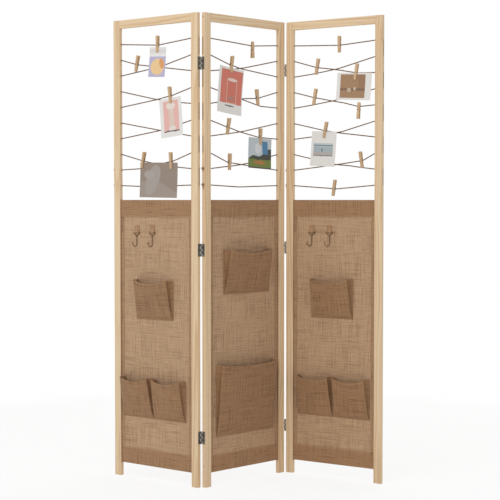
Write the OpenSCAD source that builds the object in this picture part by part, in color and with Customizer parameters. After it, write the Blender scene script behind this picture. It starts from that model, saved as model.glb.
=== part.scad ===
// Folding room divider of three pine panels. Each panel has an open window laced with twine above a
// burlap sheet, wooden pegs that hold prints on the twine, and cloth pockets sewn to the burlap.
// Millimetres, +Z up. The origin is on the floor, under the middle of the screen as it stands.

/* [Screen] */
// Height of the screen
screen_h = 1700; // [1500:10:1900]
// Width of each panel over its uprights
panel_w = 400; // [360:5:440]
// Depth of the frame, front to back
frame_t = 16; // [16:0.5:20]
// Width of each upright
stile_w = 30; // [28:1:34]
// Height of the top rail
top_rail_h = 30; // [24:1:50]
// Chamfer along the edges of the uprights and the top rail
edge_chamfer = 1.2; // [0.6:0.1:2.5]
// Angle behind the fold between the left and centre panels
left_fold_deg = 100.5; // [85:0.5:130]
// Angle in front of the fold between the centre and right panels
right_fold_deg = 105; // [85:0.5:130]
// Turn of the centre panel from the line of the front
centre_yaw = 53; // [45:1:62]

/* [Hinges] */
// Gap between the end faces of two panels laid flat in one line
fold_gap = 6.4; // [6.2:0.1:9]
// Distance of a hinge's axis beyond the face of the frame
axis_proud = 0.5; // [0.3:0.1:1.5]
// Height of each hinge
hinge_h = 45; // [35:1:50]
// Height of the lower hinge's middle above the floor
hinge_low_z = 180; // [120:5:300]
// Distance of the middle hinge's middle below the burlap's upper edge
hinge_mid_drop = 181; // [120:1:300]
// Distance of the upper hinge's middle below the middle between the second and third rows of twine
hinge_top_shift = 3.7; // [0:0.1:4]
// Outer radius of a hinge's barrel
barrel_r = 2.8; // [2.4:0.1:3]
// Radius of a hinge's pin
pin_r = 1; // [0.8:0.1:1.4]
// Thickness of a hinge's leaf
leaf_t = 1.2; // [0.8:0.1:1.6]
// Knuckles in one hinge
knuckles = 5; // [3:2:7]
// Screws in one leaf
leaf_screws = 3; // [2:1:4]
// Radius of a leaf screw's head
leaf_head_r = 2.6; // [2.2:0.1:3]
// Radius of a leaf screw's shank
leaf_shank_r = 1.4; // [1:0.1:1.6]
// Length of a leaf screw's shank
leaf_shank_l = 14; // [8:1:20]

/* [Frame screws] */
// Radius of a frame screw's head
frame_head_r = 3.6; // [3:0.1:4.5]
// Radius of a frame screw's shank
frame_shank_r = 2; // [1.5:0.1:2.2]
// Length of a frame screw inside the rail
frame_screw_bite = 22; // [15:1:30]

/* [Twine] */
// Height of the open window between the top rail and the burlap
window_h = 634; // [580:1:700]
// Distance of the first row of twine below the top rail
first_row_gap = 58; // [45:1:70]
// Distance of the last row of twine above the burlap
last_row_gap = 52.2; // [40:0.2:70]
// Radius of the twine
twine_r = 1.5; // [1:0.1:1.6]
// Room around the twine in its holes and grooves
twine_room = 0.5; // [0.4:0.1:0.8]
// Radius of a knot at the end of the twine
knot_r = 2.9; // [2.4:0.1:3.2]
// Thickness of a knot
knot_t = 4.2; // [3:0.1:4.6]

/* [Burlap] */
// Height of the burlap's lower edge above the floor
cloth_low = 48; // [20:1:80]
// Thickness of one layer of burlap
cloth_t = 1; // [0.8:0.1:1.4]
// Height of the upper and lower hems
hem_h = 60; // [40:1:80]
// Thickness of the wooden rail inside a hem
hem_rail_t = 5; // [4:0.5:7]
// Distance of a hem rail's long edges inside the hem
hem_rail_inset = 3; // [2:0.5:6]

/* [Pockets] */
// How far a pocket stands out at its mouth
pocket_depth = 30; // [15:1:40]
// Thickness of a pocket's cloth
pocket_t = 1.4; // [1:0.1:2]
// How far a pocket's mouth sags at its middle
pocket_sag = 14; // [0:1:24]
// How far the front of a pocket is drawn in at each side of its mouth
pocket_inset = 8; // [0:1:16]
// Height of the upper pocket of the two outer panels
side_pocket_h = 146; // [100:1:170]
// Its edges from the panel's left and right sides
side_pocket_left = 107; // [90:1:115]
side_pocket_right = 118; // [90:1:130]
// Distance of its back edge below the burlap's upper edge
side_pocket_drop = 294; // [250:1:330]
// Height of the two joined lower pockets of the outer panels
pair_h = 150; // [110:1:180]
// Their outer edges from the left and right sides of the left panel
left_pair_left = 39; // [36:1:60]
left_pair_right = 59; // [36:1:70]
// Their outer edges from the left and right sides of the right panel
right_pair_left = 49; // [36:1:60]
right_pair_right = 49; // [36:1:60]
// Distance of their foot above the burlap's lower edge
pair_rise = 180; // [150:1:210]
// Height of the centre panel's upper pocket
tall_pocket_h = 162; // [120:1:180]
// Its edges from the panel's left and right sides
tall_pocket_left = 95; // [80:1:110]
tall_pocket_right = 79; // [60:1:100]
// Distance of its back edge below the burlap's upper edge
tall_pocket_drop = 182; // [160:1:220]
// Height of the centre panel's lower pocket
big_pocket_h = 262; // [200:1:280]
// Its edges from the panel's left and right sides
big_pocket_left = 58; // [50:1:80]
big_pocket_right = 56; // [50:1:80]
// Distance of its foot above the burlap's lower edge
big_pocket_rise = 128; // [100:1:150]

/* [Hooks] */
// Radius of the hook's wire
hook_wire_r = 1.2; // [0.8:0.1:1.3]
// Radius of the hook's bend at the middle of the wire
hook_bend_r = 10; // [7:0.5:13]
// Length of the hook's stem
hook_stem = 30; // [20:1:40]
// Height of the triangle above the stem
hook_eye_h = 12; // [8:1:16]
// Height of the hook's tip above its bend
hook_tip = 6; // [3:1:10]
// Width of a hook's cloth tab
tab_w = 22; // [18:1:30]
// Height of a tab above the hook's bar
tab_h = 25; // [18:1:32]
// Distance of the hook's bar below the burlap's upper edge
hook_drop = 121; // [100:1:160]
// Distance of the hooks from the panel's left side
hook_x = [108, 183];
// Free room between the bar and its tab
tab_room = 0.08; // [0.05:0.01:0.1]

/* [Pegs] */
// Width of a peg
peg_w = 10; // [8:0.5:11]
// Length from a peg's pivot to the tip of its jaws
jaw_l = 32.5; // [30:0.5:36]
// Length from a peg's pivot to the end of its handles
handle_l = 28; // [24:0.5:30]
// Gap between each jaw and the plane of the print
jaw_gap = 0.35; // [0.3:0.05:0.5]
// Outer radius of the spring's coil
coil_r = 3; // [2.6:0.1:3]
// Radius of the spring's wire
spring_r = 0.55; // [0.4:0.05:0.6]
// Turns in the coil
coil_turns = 3; // [2:1:4]
// Thickness of a print
card_t = 0.4; // [0.3:0.05:0.5]

/* [Hidden] */
SIDES = ["left", "centre", "right"];
eps = 0.01;
fit = 0.05;
sheet_y = frame_t / 2;
face_y = sheet_y - cloth_t / 2;
twine_y = sheet_y + card_t / 2 + 0.3 + twine_r;
behind_y = twine_y + 2 * twine_r + 0.6;
hole_r = twine_r + twine_room;
groove_d = 2 * twine_r + 0.8;
groove_x = groove_d / 2;
turn_r = groove_d - groove_x - 0.2;
clear_w = panel_w - 2 * stile_w;
cloth_high = screen_h - top_rail_h - window_h;
rows = 10;
row_pitch = (window_h - first_row_gap - last_row_gap) / (rows - 1);
hook_y = face_y - 2.6;
hook_z = cloth_high - hook_drop;
bar_skin = 0.03;
left_yaw = centre_yaw + left_fold_deg - 180;
right_yaw = centre_yaw + right_fold_deg - 180;

// Pegs of each panel: place along the twine as a share of the window's width, the row it hangs at,
// lean, whether the jaws point up, and the distance from the twine to the tip of the jaws.
PEGS = [
    [
        [0.5265, 1.241, 0, 0, 27], [0.2324, 2.357, -12, 0, 27], [0.7, 4.454, 6, 0, 27],
        [0.3176, 8.457, -12, 0, 27], [0.7088, 8.526, 3, 0, 27]
    ],
    [
        [0.6206, 1.189, 0, 1, 16], [0.3147, 2.529, -7, 0, 27], [0.6941, 4.471, 7, 0, 27],
        [0.2647, 6.395, -10, 0, 27], [0.7382, 6.945, -2, 0, 27], [0.2853, 8.595, -3, 0, 27]
    ],
    [
        [0.5618, 1.155, 0, 0, 27], [0.2882, 2.478, -10, 0, 27], [0.7647, 2.942, -9, 0, 27],
        [0.2588, 4.385, -10, 0, 27], [0.8, 5.055, -3, 1, 15], [0.3912, 6.515, -11, 0, 27],
        [0.8324, 8.457, 8, 0, 27], [0.5, 10.21, -8, 0, 27]
    ]
];

// Prints of each panel: the peg that holds it, how far its middle lies to the right of and below
// that peg's place on the twine, width, height and lean.
CARDS = [
    [[0, 0, 62, 78, 108, -3], [2, 6, 78, 102, 141, 6], [3, 75, 71, 178, 128, -1]],
    [[1, -8, 93, 119, 168, -7], [4, -4, 59, 117, 113, -3]],
    [[2, -8, 50, 141, 100, -3], [5, -7, 67, 104, 130, -3]]
];

function row_z(row) = screen_h - top_rail_h - first_row_gap - (row - 1) * row_pitch;
// A place on the twine: its share of the window's width, whether it passes behind, and its row.
function at(share, back, row) = [stile_w + share * clear_w, back ? behind_y : twine_y, row_z(row)];
// The twine runs straight through a peg's jaws.
function grip(p) =
    let (way = (peg_w / 2 + 1) * [cos(p[2]), 0, sin(p[2])], middle = at(p[0], false, p[1]))
    [middle - way, middle + way];

// The runs of the twine in the order it is laced: left row, right row, and what lies between.
RUNS = [
    [[9, 8, concat([at(0.2647, true, 8.938), at(0.3529, true, 8.921), at(0.5147, true, 8.732),
                    at(0.6176, true, 8.595)], grip(PEGS[0][4]))],
     [6, 7, [at(0.5529, false, 6.567)]],
     [5, 4, concat([at(0.5, false, 4.643)], grip(PEGS[0][2]))],
     [2, 3, concat(grip(PEGS[0][1]), [at(0.5147, false, 2.598)])],
     [1, 1, grip(PEGS[0][0])],
     [3, 2, [at(0.4706, true, 2.649), at(0.5735, true, 2.564)]],
     [4, 5, [at(0.4559, true, 4.574), at(0.75, true, 4.849)]],
     [7, 6, [at(0.4853, true, 6.619), at(0.6176, true, 6.515)]],
     [8, 9, concat(grip(PEGS[0][3]), [at(0.5147, false, 8.68), at(0.5735, false, 8.732),
                                      at(0.6706, true, 8.801), at(0.7647, true, 8.869)])],
     [10, 10, [at(0.3853, false, 10.089)]]],
    [[9, 8, [at(0.2353, true, 8.852), at(0.3529, true, 8.784), at(0.4706, true, 8.698),
             at(0.5735, true, 8.595)]],
     [6, 7, concat(grip(PEGS[1][3]), [at(0.4412, false, 6.653)], grip(PEGS[1][4]))],
     [5, 4, concat([at(0.4412, false, 4.574)], grip(PEGS[1][2]))],
     [2, 3, concat(grip(PEGS[1][1]), [at(0.4559, false, 2.701)])],
     [1, 1, grip(PEGS[1][0])],
     [3, 2, [at(0.2588, true, 2.821), at(0.3824, true, 2.735), at(0.5294, true, 2.598)]],
     [4, 5, [at(0.3824, true, 4.471), at(0.75, true, 4.952)]],
     [7, 6, [at(0.2059, true, 6.842), at(0.3235, true, 6.756), at(0.5, true, 6.601)]],
     [8, 9, concat(grip(PEGS[1][5]), [at(0.4706, false, 8.698)])],
     [10, 10, [at(0.4324, false, 10.107)]]],
    [[9, 8, concat([at(0.4412, true, 8.732), at(0.6176, true, 8.612)], grip(PEGS[2][6]))],
     [6, 7, concat(grip(PEGS[2][5]), [at(0.5471, false, 6.67)])],
     [5, 4, [at(0.1912, true, 4.866), at(0.4853, true, 4.625)]],
     [2, 3, concat(grip(PEGS[2][1]), [at(0.4912, false, 2.649)], grip(PEGS[2][2]))],
     [1, 1, grip(PEGS[2][0])],
     [3, 2, [at(0.2206, true, 2.873), at(0.3529, true, 2.77), at(0.5441, true, 2.615)]],
     [4, 5, concat(grip(PEGS[2][3]), [at(0.4735, false, 4.643), at(0.6176, false, 4.797)],
                   grip(PEGS[2][4]))],
     [7, 6, [at(0.3235, true, 6.825), at(0.4412, true, 6.722), at(0.5882, true, 6.601)]],
     [8, 9, [at(0.5235, false, 8.68), at(0.6912, false, 8.766), at(0.7882, true, 8.852),
             at(0.8824, true, 8.921)]],
     [10, 10, grip(PEGS[2][7])]]
];

function numbered(stem, count) = [for (i = [1:count]) str(stem, i)];

hinge_z = [hinge_low_z, cloth_high - hinge_mid_drop, (row_z(2) + row_z(3)) / 2 - hinge_top_shift];

// ---- Where the panels stand ----

function heading(a) = [cos(a), sin(a)];
function backward(a) = [-sin(a), cos(a)];
// Front left corner of each panel, with the left fold's axis at zero.
left_corner = -(fold_gap / 2 + panel_w) * heading(left_yaw) - (frame_t + axis_proud) * backward(left_yaw);
centre_corner = fold_gap / 2 * heading(centre_yaw) - (frame_t + axis_proud) * backward(centre_yaw);
right_axis = centre_corner + (panel_w + fold_gap / 2) * heading(centre_yaw)
             - axis_proud * backward(centre_yaw);
right_corner = right_axis + fold_gap / 2 * heading(right_yaw) + axis_proud * backward(right_yaw);
YAWS = [left_yaw, centre_yaw, right_yaw];
LOOSE = [left_corner, centre_corner, right_corner];
footprint = [for (k = [0:2], x = [0, panel_w], y = [0, frame_t])
             LOOSE[k] + x * heading(YAWS[k]) + y * backward(YAWS[k])];
middle = [for (i = [0, 1])
          (min([for (p = footprint) p[i]]) + max([for (p = footprint) p[i]])) / 2];
CORNERS = [for (c = LOOSE) c - middle];

module panel(k) {
    translate([CORNERS[k].x, CORNERS[k].y, 0]) rotate([0, 0, YAWS[k]]) children();
}

// ---- Round bars along a path ----

function unit(v) = v / norm(v);
function tangents(p) = [for (i = [0:len(p) - 1])
    i == 0 ? unit(p[1] - p[0])
    : i == len(p) - 1 ? unit(p[i] - p[i - 1])
    : unit(unit(p[i + 1] - p[i]) + unit(p[i] - p[i - 1]))];
function carried(t, side, i = 1) = i == len(t) ? [side]
    : concat([side], carried(t, unit(side - (side * t[i]) * t[i]), i + 1));

module bar_along(path, r, sides, first_side) {
    t = tangents(path);
    n = carried(t, unit(first_side - (first_side * t[0]) * t[0]));
    last = len(path) - 1;
    points = [for (i = [0:last], j = [0:sides - 1])
        path[i] + r * (cos(360 * j / sides) * n[i] + sin(360 * j / sides) * cross(t[i], n[i]))];
    skin = [for (i = [0:last - 1], j = [0:sides - 1])
        let (a = i * sides + j, b = i * sides + (j + 1) % sides)
        each [[a, a + sides, b + sides], [a, b + sides, b]]];
    start = [for (j = [1:sides - 2]) [0, j, j + 1]];
    end = [for (j = [1:sides - 2]) [last * sides, last * sides + j + 1, last * sides + j]];
    polyhedron(points, concat(skin, start, end), convexity = 10);
}

// ---- Frame ----

module chamfered(w, t, c) {
    polygon([[c, 0], [w - c, 0], [w, c], [w, t - c], [w - c, t], [c, t], [0, t - c], [0, c]]);
}

module along_x() {
    rotate([0, 90, 0]) children();
}

function rail_mid_z() = [screen_h - top_rail_h / 2, cloth_high - hem_h / 2, cloth_low + hem_h / 2];

// One upright with its twine holes and grooves, drawn as the left one of a panel.
module stile(last_groove, hinge_front, hinge_back) {
    difference() {
        linear_extrude(screen_h) chamfered(stile_w, frame_t, edge_chamfer);
        for (row = [1:rows]) translate([-1, twine_y, row_z(row)])
            along_x() cylinder(h = stile_w + 2, r = hole_r, $fn = 32);
        for (row = [1:2:last_groove]) translate([-1, twine_y - hole_r, row_z(row + 1) - hole_r])
            cube([groove_d + 1, 2 * hole_r, row_pitch + 2 * hole_r]);
        for (z = rail_mid_z()) translate([0, sheet_y, z]) frame_screw(fit);
        if (hinge_front || hinge_back) for (z = hinge_z) translate([0, 0, z])
            leaf_place(hinge_back) leaf_screw_row(fit);
    }
}

// Mirrors a left upright, or anything drawn on it, to the panel's right end.
module at_right_end() {
    translate([panel_w, 0, 0]) mirror([1, 0, 0]) children();
}

module stiles(k) {
    color([0.86, 0.74, 0.59]) panel(k) {
        stile(7, k == 2, k == 1);
        at_right_end() stile(9, k == 1, k == 0);
    }
}

module rails(k) {
    color([0.86, 0.74, 0.59]) panel(k) difference() {
        union() {
            translate([stile_w, 0, screen_h - top_rail_h]) rotate([90, 0, 90])
                linear_extrude(panel_w - 2 * stile_w) chamfered_rail();
            for (z = [cloth_high - hem_h, cloth_low])
                translate([stile_w + cloth_t, sheet_y - hem_rail_t / 2, z + hem_rail_inset])
                    cube([panel_w - 2 * (stile_w + cloth_t), hem_rail_t, hem_h - 2 * hem_rail_inset]);
        }
        for (z = rail_mid_z()) translate([0, sheet_y, z]) {
            frame_screw(fit);
            at_right_end() frame_screw(fit);
        }
    }
}

module chamfered_rail() {
    chamfered(frame_t, top_rail_h, edge_chamfer);
}

// A countersunk screw driven from the outer face of an upright into a rail's end.
module frame_screw(room) {
    head_h = frame_head_r - frame_shank_r;
    translate([-eps, 0, 0]) along_x() {
        cylinder(h = head_h, r1 = frame_head_r + room, r2 = frame_shank_r + room, $fn = 32);
        cylinder(h = stile_w + frame_screw_bite + room, r = frame_shank_r + room, $fn = 32);
    }
}

// ---- Hinges ----

// Moves what is drawn on the end face, outward along -X, to the side of the frame that has the axis.
module leaf_place(axis_back) {
    if (axis_back) children();
    else translate([0, frame_t, 0]) mirror([0, 1, 0]) children();
}

screw_line = frame_t / 2 - 1.5;
screw_step = (hinge_h - 17) / (leaf_screws - 1);

module leaf_screw(room) {
    head_h = leaf_head_r - leaf_shank_r;
    translate([-leaf_t, 0, 0]) along_x() {
        cylinder(h = head_h + room, r1 = leaf_head_r + room, r2 = leaf_shank_r + room, $fn = 32);
        cylinder(h = leaf_t + leaf_shank_l + room, r = leaf_shank_r + room, $fn = 32);
    }
}

module leaf_screw_row(room) {
    for (i = [0:leaf_screws - 1])
        translate([0, screw_line, (i - (leaf_screws - 1) / 2) * screw_step]) leaf_screw(room);
}

// One leaf with every second knuckle, its axis at the back of the frame.
module leaf(first) {
    pitch = hinge_h / knuckles;
    axis = [-fold_gap / 2, frame_t + axis_proud];
    room = barrel_r + 0.4;
    difference() {
        union() {
            translate([-leaf_t, 1, -hinge_h / 2]) cube([leaf_t, axis.y - 1, hinge_h]);
            for (i = [first:2:knuckles - 1])
                translate([axis.x, axis.y, -hinge_h / 2 + i * pitch + 0.1])
                    cylinder(h = pitch - 0.2, r = barrel_r, $fn = 48);
        }
        for (i = [1 - first:2:knuckles - 1])
            translate([-leaf_t - 1, axis.y - room, -hinge_h / 2 + i * pitch - 0.1])
                cube([leaf_t + 2, room + 1, pitch + 0.2]);
        translate([axis.x, axis.y, -hinge_h / 2 - 1]) cylinder(h = hinge_h + 2, r = pin_r + fit, $fn = 48);
        leaf_screw_row(fit);
    }
}

module hinge_leaves(k) {
    color([0.55, 0.53, 0.5]) panel(k) for (z = hinge_z) translate([0, 0, z]) {
        if (k > 0) leaf_place(k == 1) leaf(k == 1 ? 1 : 0);
        if (k < 2) at_right_end() leaf_place(k == 0) leaf(k == 1 ? 1 : 0);
    }
}

module screws(k) {
    color([0.6, 0.58, 0.54]) panel(k) {
        for (z = rail_mid_z()) translate([0, sheet_y, z]) {
            frame_screw(0);
            at_right_end() frame_screw(0);
        }
        for (z = hinge_z) translate([0, 0, z]) {
            if (k > 0) leaf_place(k == 1) leaf_screw_row(0);
            if (k < 2) at_right_end() leaf_place(k == 0) leaf_screw_row(0);
        }
    }
}

// The three pins of one fold, held in the centre panel's knuckles.
module fold_pins(at_left) {
    color([0.7, 0.68, 0.64]) panel(1) for (z = hinge_z)
        translate([at_left ? -fold_gap / 2 : panel_w + fold_gap / 2,
                   at_left ? frame_t + axis_proud : -axis_proud, z]) {
            cylinder(h = hinge_h + 0.4, r = pin_r, center = true, $fn = 48);
            for (s = [-1, 1]) translate([0, 0, s * (hinge_h / 2 + 0.5)])
                cylinder(h = 0.8, r = pin_r + 0.8, center = true, $fn = 32);
        }
}

// ---- Twine ----

function outside(row) = row % 2 == 1 ? -1 : 1;
// From the groove into the hole of an upright and out at its inner mouth, drawn for the left one.
function left_way(row) = row > 8
    ? [[-eps - 0.5, twine_y, row_z(row)], [stile_w + 1, twine_y, row_z(row)]]
    : [[groove_x, twine_y, row_z(row) + outside(row) * turn_r],
       [groove_x + turn_r, twine_y, row_z(row)], [stile_w + 1, twine_y, row_z(row)]];
function right_way(row) = [[panel_w - stile_w - 1, twine_y, row_z(row)],
    [panel_w - groove_x - turn_r, twine_y, row_z(row)],
    [panel_w - groove_x, twine_y, row_z(row) + outside(row) * turn_r]];
function reversed(p) = [for (i = [len(p) - 1:-1:0]) p[i]];
function run_points(run) = concat(left_way(run[0]), run[2], right_way(run[1]));
// The whole length of one panel's twine, which crosses the window to and fro.
function lacing(k) = [for (i = [0:len(RUNS[k]) - 1])
    each (i % 2 == 0 ? run_points(RUNS[k][i]) : reversed(run_points(RUNS[k][i])))];

module knot() {
    rotate([0, -90, 0]) rotate_extrude($fn = 24)
        polygon([[0, 0], [knot_r * 0.7, 0], [knot_r, knot_t * 0.3], [knot_r, knot_t * 0.6],
                 [knot_r * 0.6, knot_t], [0, knot_t]]);
}

module twine(k) {
    color([0.6, 0.52, 0.44]) panel(k) {
        bar_along(lacing(k), twine_r, 8, [0, 1, 0]);
        for (row = [9, 10]) translate([-fit, twine_y, row_z(row)]) knot();
    }
}

// ---- Burlap ----

module burlap(k) {
    inner_x = stile_w + cloth_t + fit;
    inner_w = panel_w - 2 * inner_x;
    hem_t = hem_rail_t + 2 * cloth_t;
    color([0.70, 0.58, 0.46]) panel(k) {
        translate([inner_x, face_y, cloth_low + hem_h + fit])
            cube([inner_w, cloth_t, cloth_high - cloth_low - 2 * hem_h - 2 * fit]);
        for (z = [cloth_low, cloth_high - hem_h]) translate([inner_x, sheet_y - hem_t / 2, z])
            difference() {
                cube([inner_w, hem_t, hem_h]);
                translate([-1, cloth_t - fit, hem_rail_inset - fit])
                    cube([inner_w + 2, hem_rail_t + 2 * fit, hem_h - 2 * hem_rail_inset + 2 * fit]);
            }
        hem_edge();
        at_right_end() hem_edge();
    }
}

// The side hem folded forward along the inner face of an upright.
module hem_edge() {
    difference() {
        translate([stile_w, edge_chamfer, cloth_low])
            cube([cloth_t, face_y + cloth_t - edge_chamfer, cloth_high - cloth_low]);
        for (z = rail_mid_z()) translate([0, sheet_y, z])
            along_x() cylinder(h = 2 * stile_w, r = frame_shank_r + fit, $fn = 32);
    }
}

// ---- Pockets ----

// One ring of a pocket at a share of its height, seen from above: back corners and front.
function pocket_ring(w, share, wall, depth, top, foot) =
    let (out = 0.4 + depth * pow(share, 0.8), back = pocket_t * 0.6, drawn = pocket_inset * share,
         far = back + out + (wall > 0 ? 0 : pocket_t), near = wall > 0 ? back : 0,
         front_w = w - 2 * drawn - 2 * wall)
    concat([[wall, -near, foot + (top - foot) * share]],
        [for (i = [0:8]) let (u = i / 8, swell = 4 * u * (1 - u))
            [wall + drawn + front_w * u, -far - 3 * swell * share,
             foot + (top - foot - pocket_sag * swell * share) * share]],
        [[w - wall, -near, foot + (top - foot) * share]]);

// A sewn pocket, open at the top, its back on the burlap.
module pocket(w, h) {
    levels = 5;
    count = 11;
    outer = [for (i = [0:levels]) each pocket_ring(w, i / levels, 0, pocket_depth, h, 0)];
    inner = [for (i = [0:levels])
             each pocket_ring(w, i / levels, pocket_t, pocket_depth, h, pocket_t)];
    base = (levels + 1) * count;
    outside_skin = [for (i = [0:levels - 1], j = [0:count - 1])
        let (a = i * count + j, b = i * count + (j + 1) % count)
        each [[a, a + count, b + count], [a, b + count, b]]];
    inside_skin = [for (f = outside_skin) [f[0] + base, f[2] + base, f[1] + base]];
    rim = [for (j = [0:count - 1])
        let (a = levels * count + j, b = levels * count + (j + 1) % count)
        each [[a, a + base, b + base], [a, b + base, b]]];
    foot = [for (j = [1:count - 2]) [0, j, j + 1]];
    floor_inside = [for (f = foot) [f[0] + base, f[2] + base, f[1] + base]];
    polyhedron(concat(outer, inner), concat(outside_skin, inside_skin, rim, foot, floor_inside),
               convexity = 6);
}

// Draws a pocket that starts at a distance from the panel's left side, with its foot at a height.
module sewn_at(k, x, z) {
    color([0.56, 0.44, 0.34]) panel(k) translate([x, face_y - fit, z]) children();
}

module pocket_pair(k, left, right) {
    each_w = (panel_w - left - right) / 2 - fit;
    for (side = [0, 1])
        sewn_at(k, left + side * (each_w + 2 * fit), cloth_low + pair_rise) pocket(each_w, pair_h);
}

module side_pocket(k) {
    sewn_at(k, side_pocket_left, cloth_high - side_pocket_drop - side_pocket_h)
        pocket(panel_w - side_pocket_left - side_pocket_right, side_pocket_h);
}

module centre_upper_pocket() {
    sewn_at(1, tall_pocket_left, cloth_high - tall_pocket_drop - tall_pocket_h)
        pocket(panel_w - tall_pocket_left - tall_pocket_right, tall_pocket_h);
}

module centre_lower_pocket() {
    sewn_at(1, big_pocket_left, cloth_low + big_pocket_rise)
        pocket(panel_w - big_pocket_left - big_pocket_right, big_pocket_h);
}

// ---- Hooks ----

module hook_tabs(k) {
    loop_r = hook_wire_r + tab_room + 1;
    reach = face_y - fit - hook_y;
    color([0.52, 0.41, 0.31]) panel(k) for (x = hook_x) translate([x - tab_w / 2, hook_y, hook_z])
        difference() {
            union() {
                along_x() cylinder(h = tab_w, r = loop_r, $fn = 40);
                rotate([90, 0, 90]) linear_extrude(tab_w)
                    polygon([[-loop_r * 0.9, loop_r * 0.3], [loop_r * 0.9, loop_r * 0.3],
                             [reach, loop_r + 3], [reach, tab_h], [reach - 2 * cloth_t, tab_h],
                             [reach - 2 * cloth_t, loop_r + 6]]);
            }
            translate([-1, 0, 0]) along_x() cylinder(h = tab_w + 2, r = hook_wire_r + tab_room, $fn = 40);
        }
}

// The wire of a hook from its start beside the stem: up round the triangle, down the stem and
// round the bend to the tip.
function hook_path() =
    let (turn = 2.6, bar = tab_w / 2 + turn + 0.4, low = -hook_eye_h - hook_stem,
         beside = -2 * hook_wire_r - fit)
    concat([[beside, 0, -hook_eye_h - 4], [beside, 0, -hook_eye_h]],
        [[-bar, 0, -turn], [-bar + 0.3 * turn, 0, -0.3 * turn], [-bar + turn, 0, 0],
         [bar - turn, 0, 0], [bar - 0.3 * turn, 0, -0.3 * turn], [bar, 0, -turn]],
        [[0.3 * turn, 0, -hook_eye_h + turn], [0, 0, -hook_eye_h - 0.5 * turn]],
        [for (i = [0:10]) [hook_bend_r * (cos(18 * i) - 1), 0, low - hook_bend_r * sin(18 * i)]],
        [[-2 * hook_bend_r, 0, low + hook_tip]]);

// The bar turns in the bore of its tab, so it is a true cylinder over the wire.
module hook(k, i) {
    color([0.42, 0.33, 0.22]) panel(k) translate([hook_x[i], hook_y, hook_z]) {
        bar_along(hook_path(), hook_wire_r, 8, [0, 1, 0]);
        translate([-tab_w / 2, 0, 0]) along_x() cylinder(h = tab_w, r = hook_wire_r + bar_skin, $fn = 40);
    }
}

// ---- Pegs ----

// Moves what is drawn about a peg's pivot, its jaws downward, to the peg's place on the twine.
module peg_place(k, p) {
    panel(k) translate([stile_w + p[0] * clear_w, sheet_y, row_z(p[1])])
        rotate([0, 180 * p[3] - p[2], 0]) translate([0, 0, jaw_l - p[4]]) children();
}

// Side outline of the front lever: the jaw below the pivot, the handle above it.
lever_side = [
    [-jaw_gap, -jaw_l + 0.8], [-jaw_gap, 0], [-0.8, 3.5], [-3.6, handle_l - 0.8],
    [-4.3, handle_l], [-6.2, handle_l], [-6.9, handle_l - 0.8], [-6.1, 8], [-5.3, 0],
    [-5, -8], [-2.7, -jaw_l + 3], [-1.6, -jaw_l], [-1.1, -jaw_l]
];
// Where the spring's wire lies in the front lever: in its face, and below the pivot.
seat_depth = 5.05;
seat_drop = 7;

module lever() {
    difference() {
        translate([-peg_w / 2, 0, 0]) rotate([90, 0, 90]) linear_extrude(peg_w) polygon(lever_side);
        translate([-peg_w, 0, 0]) along_x() cylinder(h = 2 * peg_w, r = coil_r + 0.3, $fn = 40);
        translate([-peg_w, -seat_depth, -seat_drop]) along_x()
            cylinder(h = 2 * peg_w, r = spring_r + 0.15, $fn = 24);
    }
}

module peg(k, i) {
    color([0.80, 0.66, 0.44]) peg_place(k, PEGS[k][i]) lever();
}

// The levers behind the twine stay with the panel, each with a notch that holds the twine.
module peg_backs(k) {
    color([0.80, 0.66, 0.44]) for (p = PEGS[k]) peg_place(k, p) difference() {
        mirror([0, 1, 0]) lever();
        translate([-peg_w, twine_y - sheet_y, p[4] - jaw_l]) along_x()
            cylinder(h = 2 * peg_w, r = twine_r + 0.2, $fn = 32);
    }
}

// The spring's wire: over the front lever, round the coil, and over the back lever.
spring_side_x = peg_w / 2 + spring_r + 0.1;
spring_bend = 1.45 * spring_r;
wind_r = coil_r - spring_r;
// One arm of the spring from the middle of a lever's width to the side, in front of it or behind.
function spring_arm(side, far) =
    [[side * -peg_w / 2, far * seat_depth, -seat_drop],
     [side * (spring_side_x - spring_bend), far * seat_depth, -seat_drop],
     [side * spring_side_x, far * (seat_depth - spring_bend), 0.4 * spring_bend - seat_drop]];
spring_path = concat(
    spring_arm(1, -1),
    [for (i = [0:8 * coil_turns + 4]) let (turn = i / 8, a = -120 - 360 * turn)
        [spring_side_x * (1 - 2 * i / (8 * coil_turns + 4)), wind_r * cos(a), wind_r * sin(a)]],
    reversed(spring_arm(-1, 1))
);
echo(least_gap_between_turns = 2 * spring_side_x * 8 / (8 * coil_turns + 4) - 2 * spring_r);

module peg_springs(k) {
    color([0.62, 0.6, 0.56]) for (p = PEGS[k]) peg_place(k, p)
        bar_along(spring_path, spring_r, 6, [0, 0, 1]);
}

// ---- Prints ----

module cards(k) {
    color([0.93, 0.9, 0.86]) panel(k) for (c = CARDS[k]) let (p = PEGS[k][c[0]])
        translate([stile_w + p[0] * clear_w + c[1], sheet_y, row_z(p[1]) - c[2]]) rotate([0, -c[5], 0])
            cube([c[3], card_t, c[4]], center = true);
}

for (k = [0:2]) {
    s = SIDES[k];
    stiles(k);
    rails(k);
    twine(k);
    burlap(k);
    peg_backs(k);
    peg_springs(k);
    cards(k);
    hinge_leaves(k);
    screws(k);
    for (i = [0:len(PEGS[k]) - 1])
        peg(k, i);
}
side_pocket(0);  // left_upper_pocket
pocket_pair(0, left_pair_left, left_pair_right);  // left_lower_pockets
centre_upper_pocket();
centre_lower_pocket();
side_pocket(2);  // right_upper_pocket
pocket_pair(2, right_pair_left, right_pair_right);  // right_lower_pockets
hook_tabs(0);  // left_hook_tabs
hook_tabs(2);  // right_hook_tabs
for (i = [0, 1]) {
    hook(0, i);
    hook(2, i);
}
fold_pins(true);  // left_fold_pins
fold_pins(false);  // right_fold_pins
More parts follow.
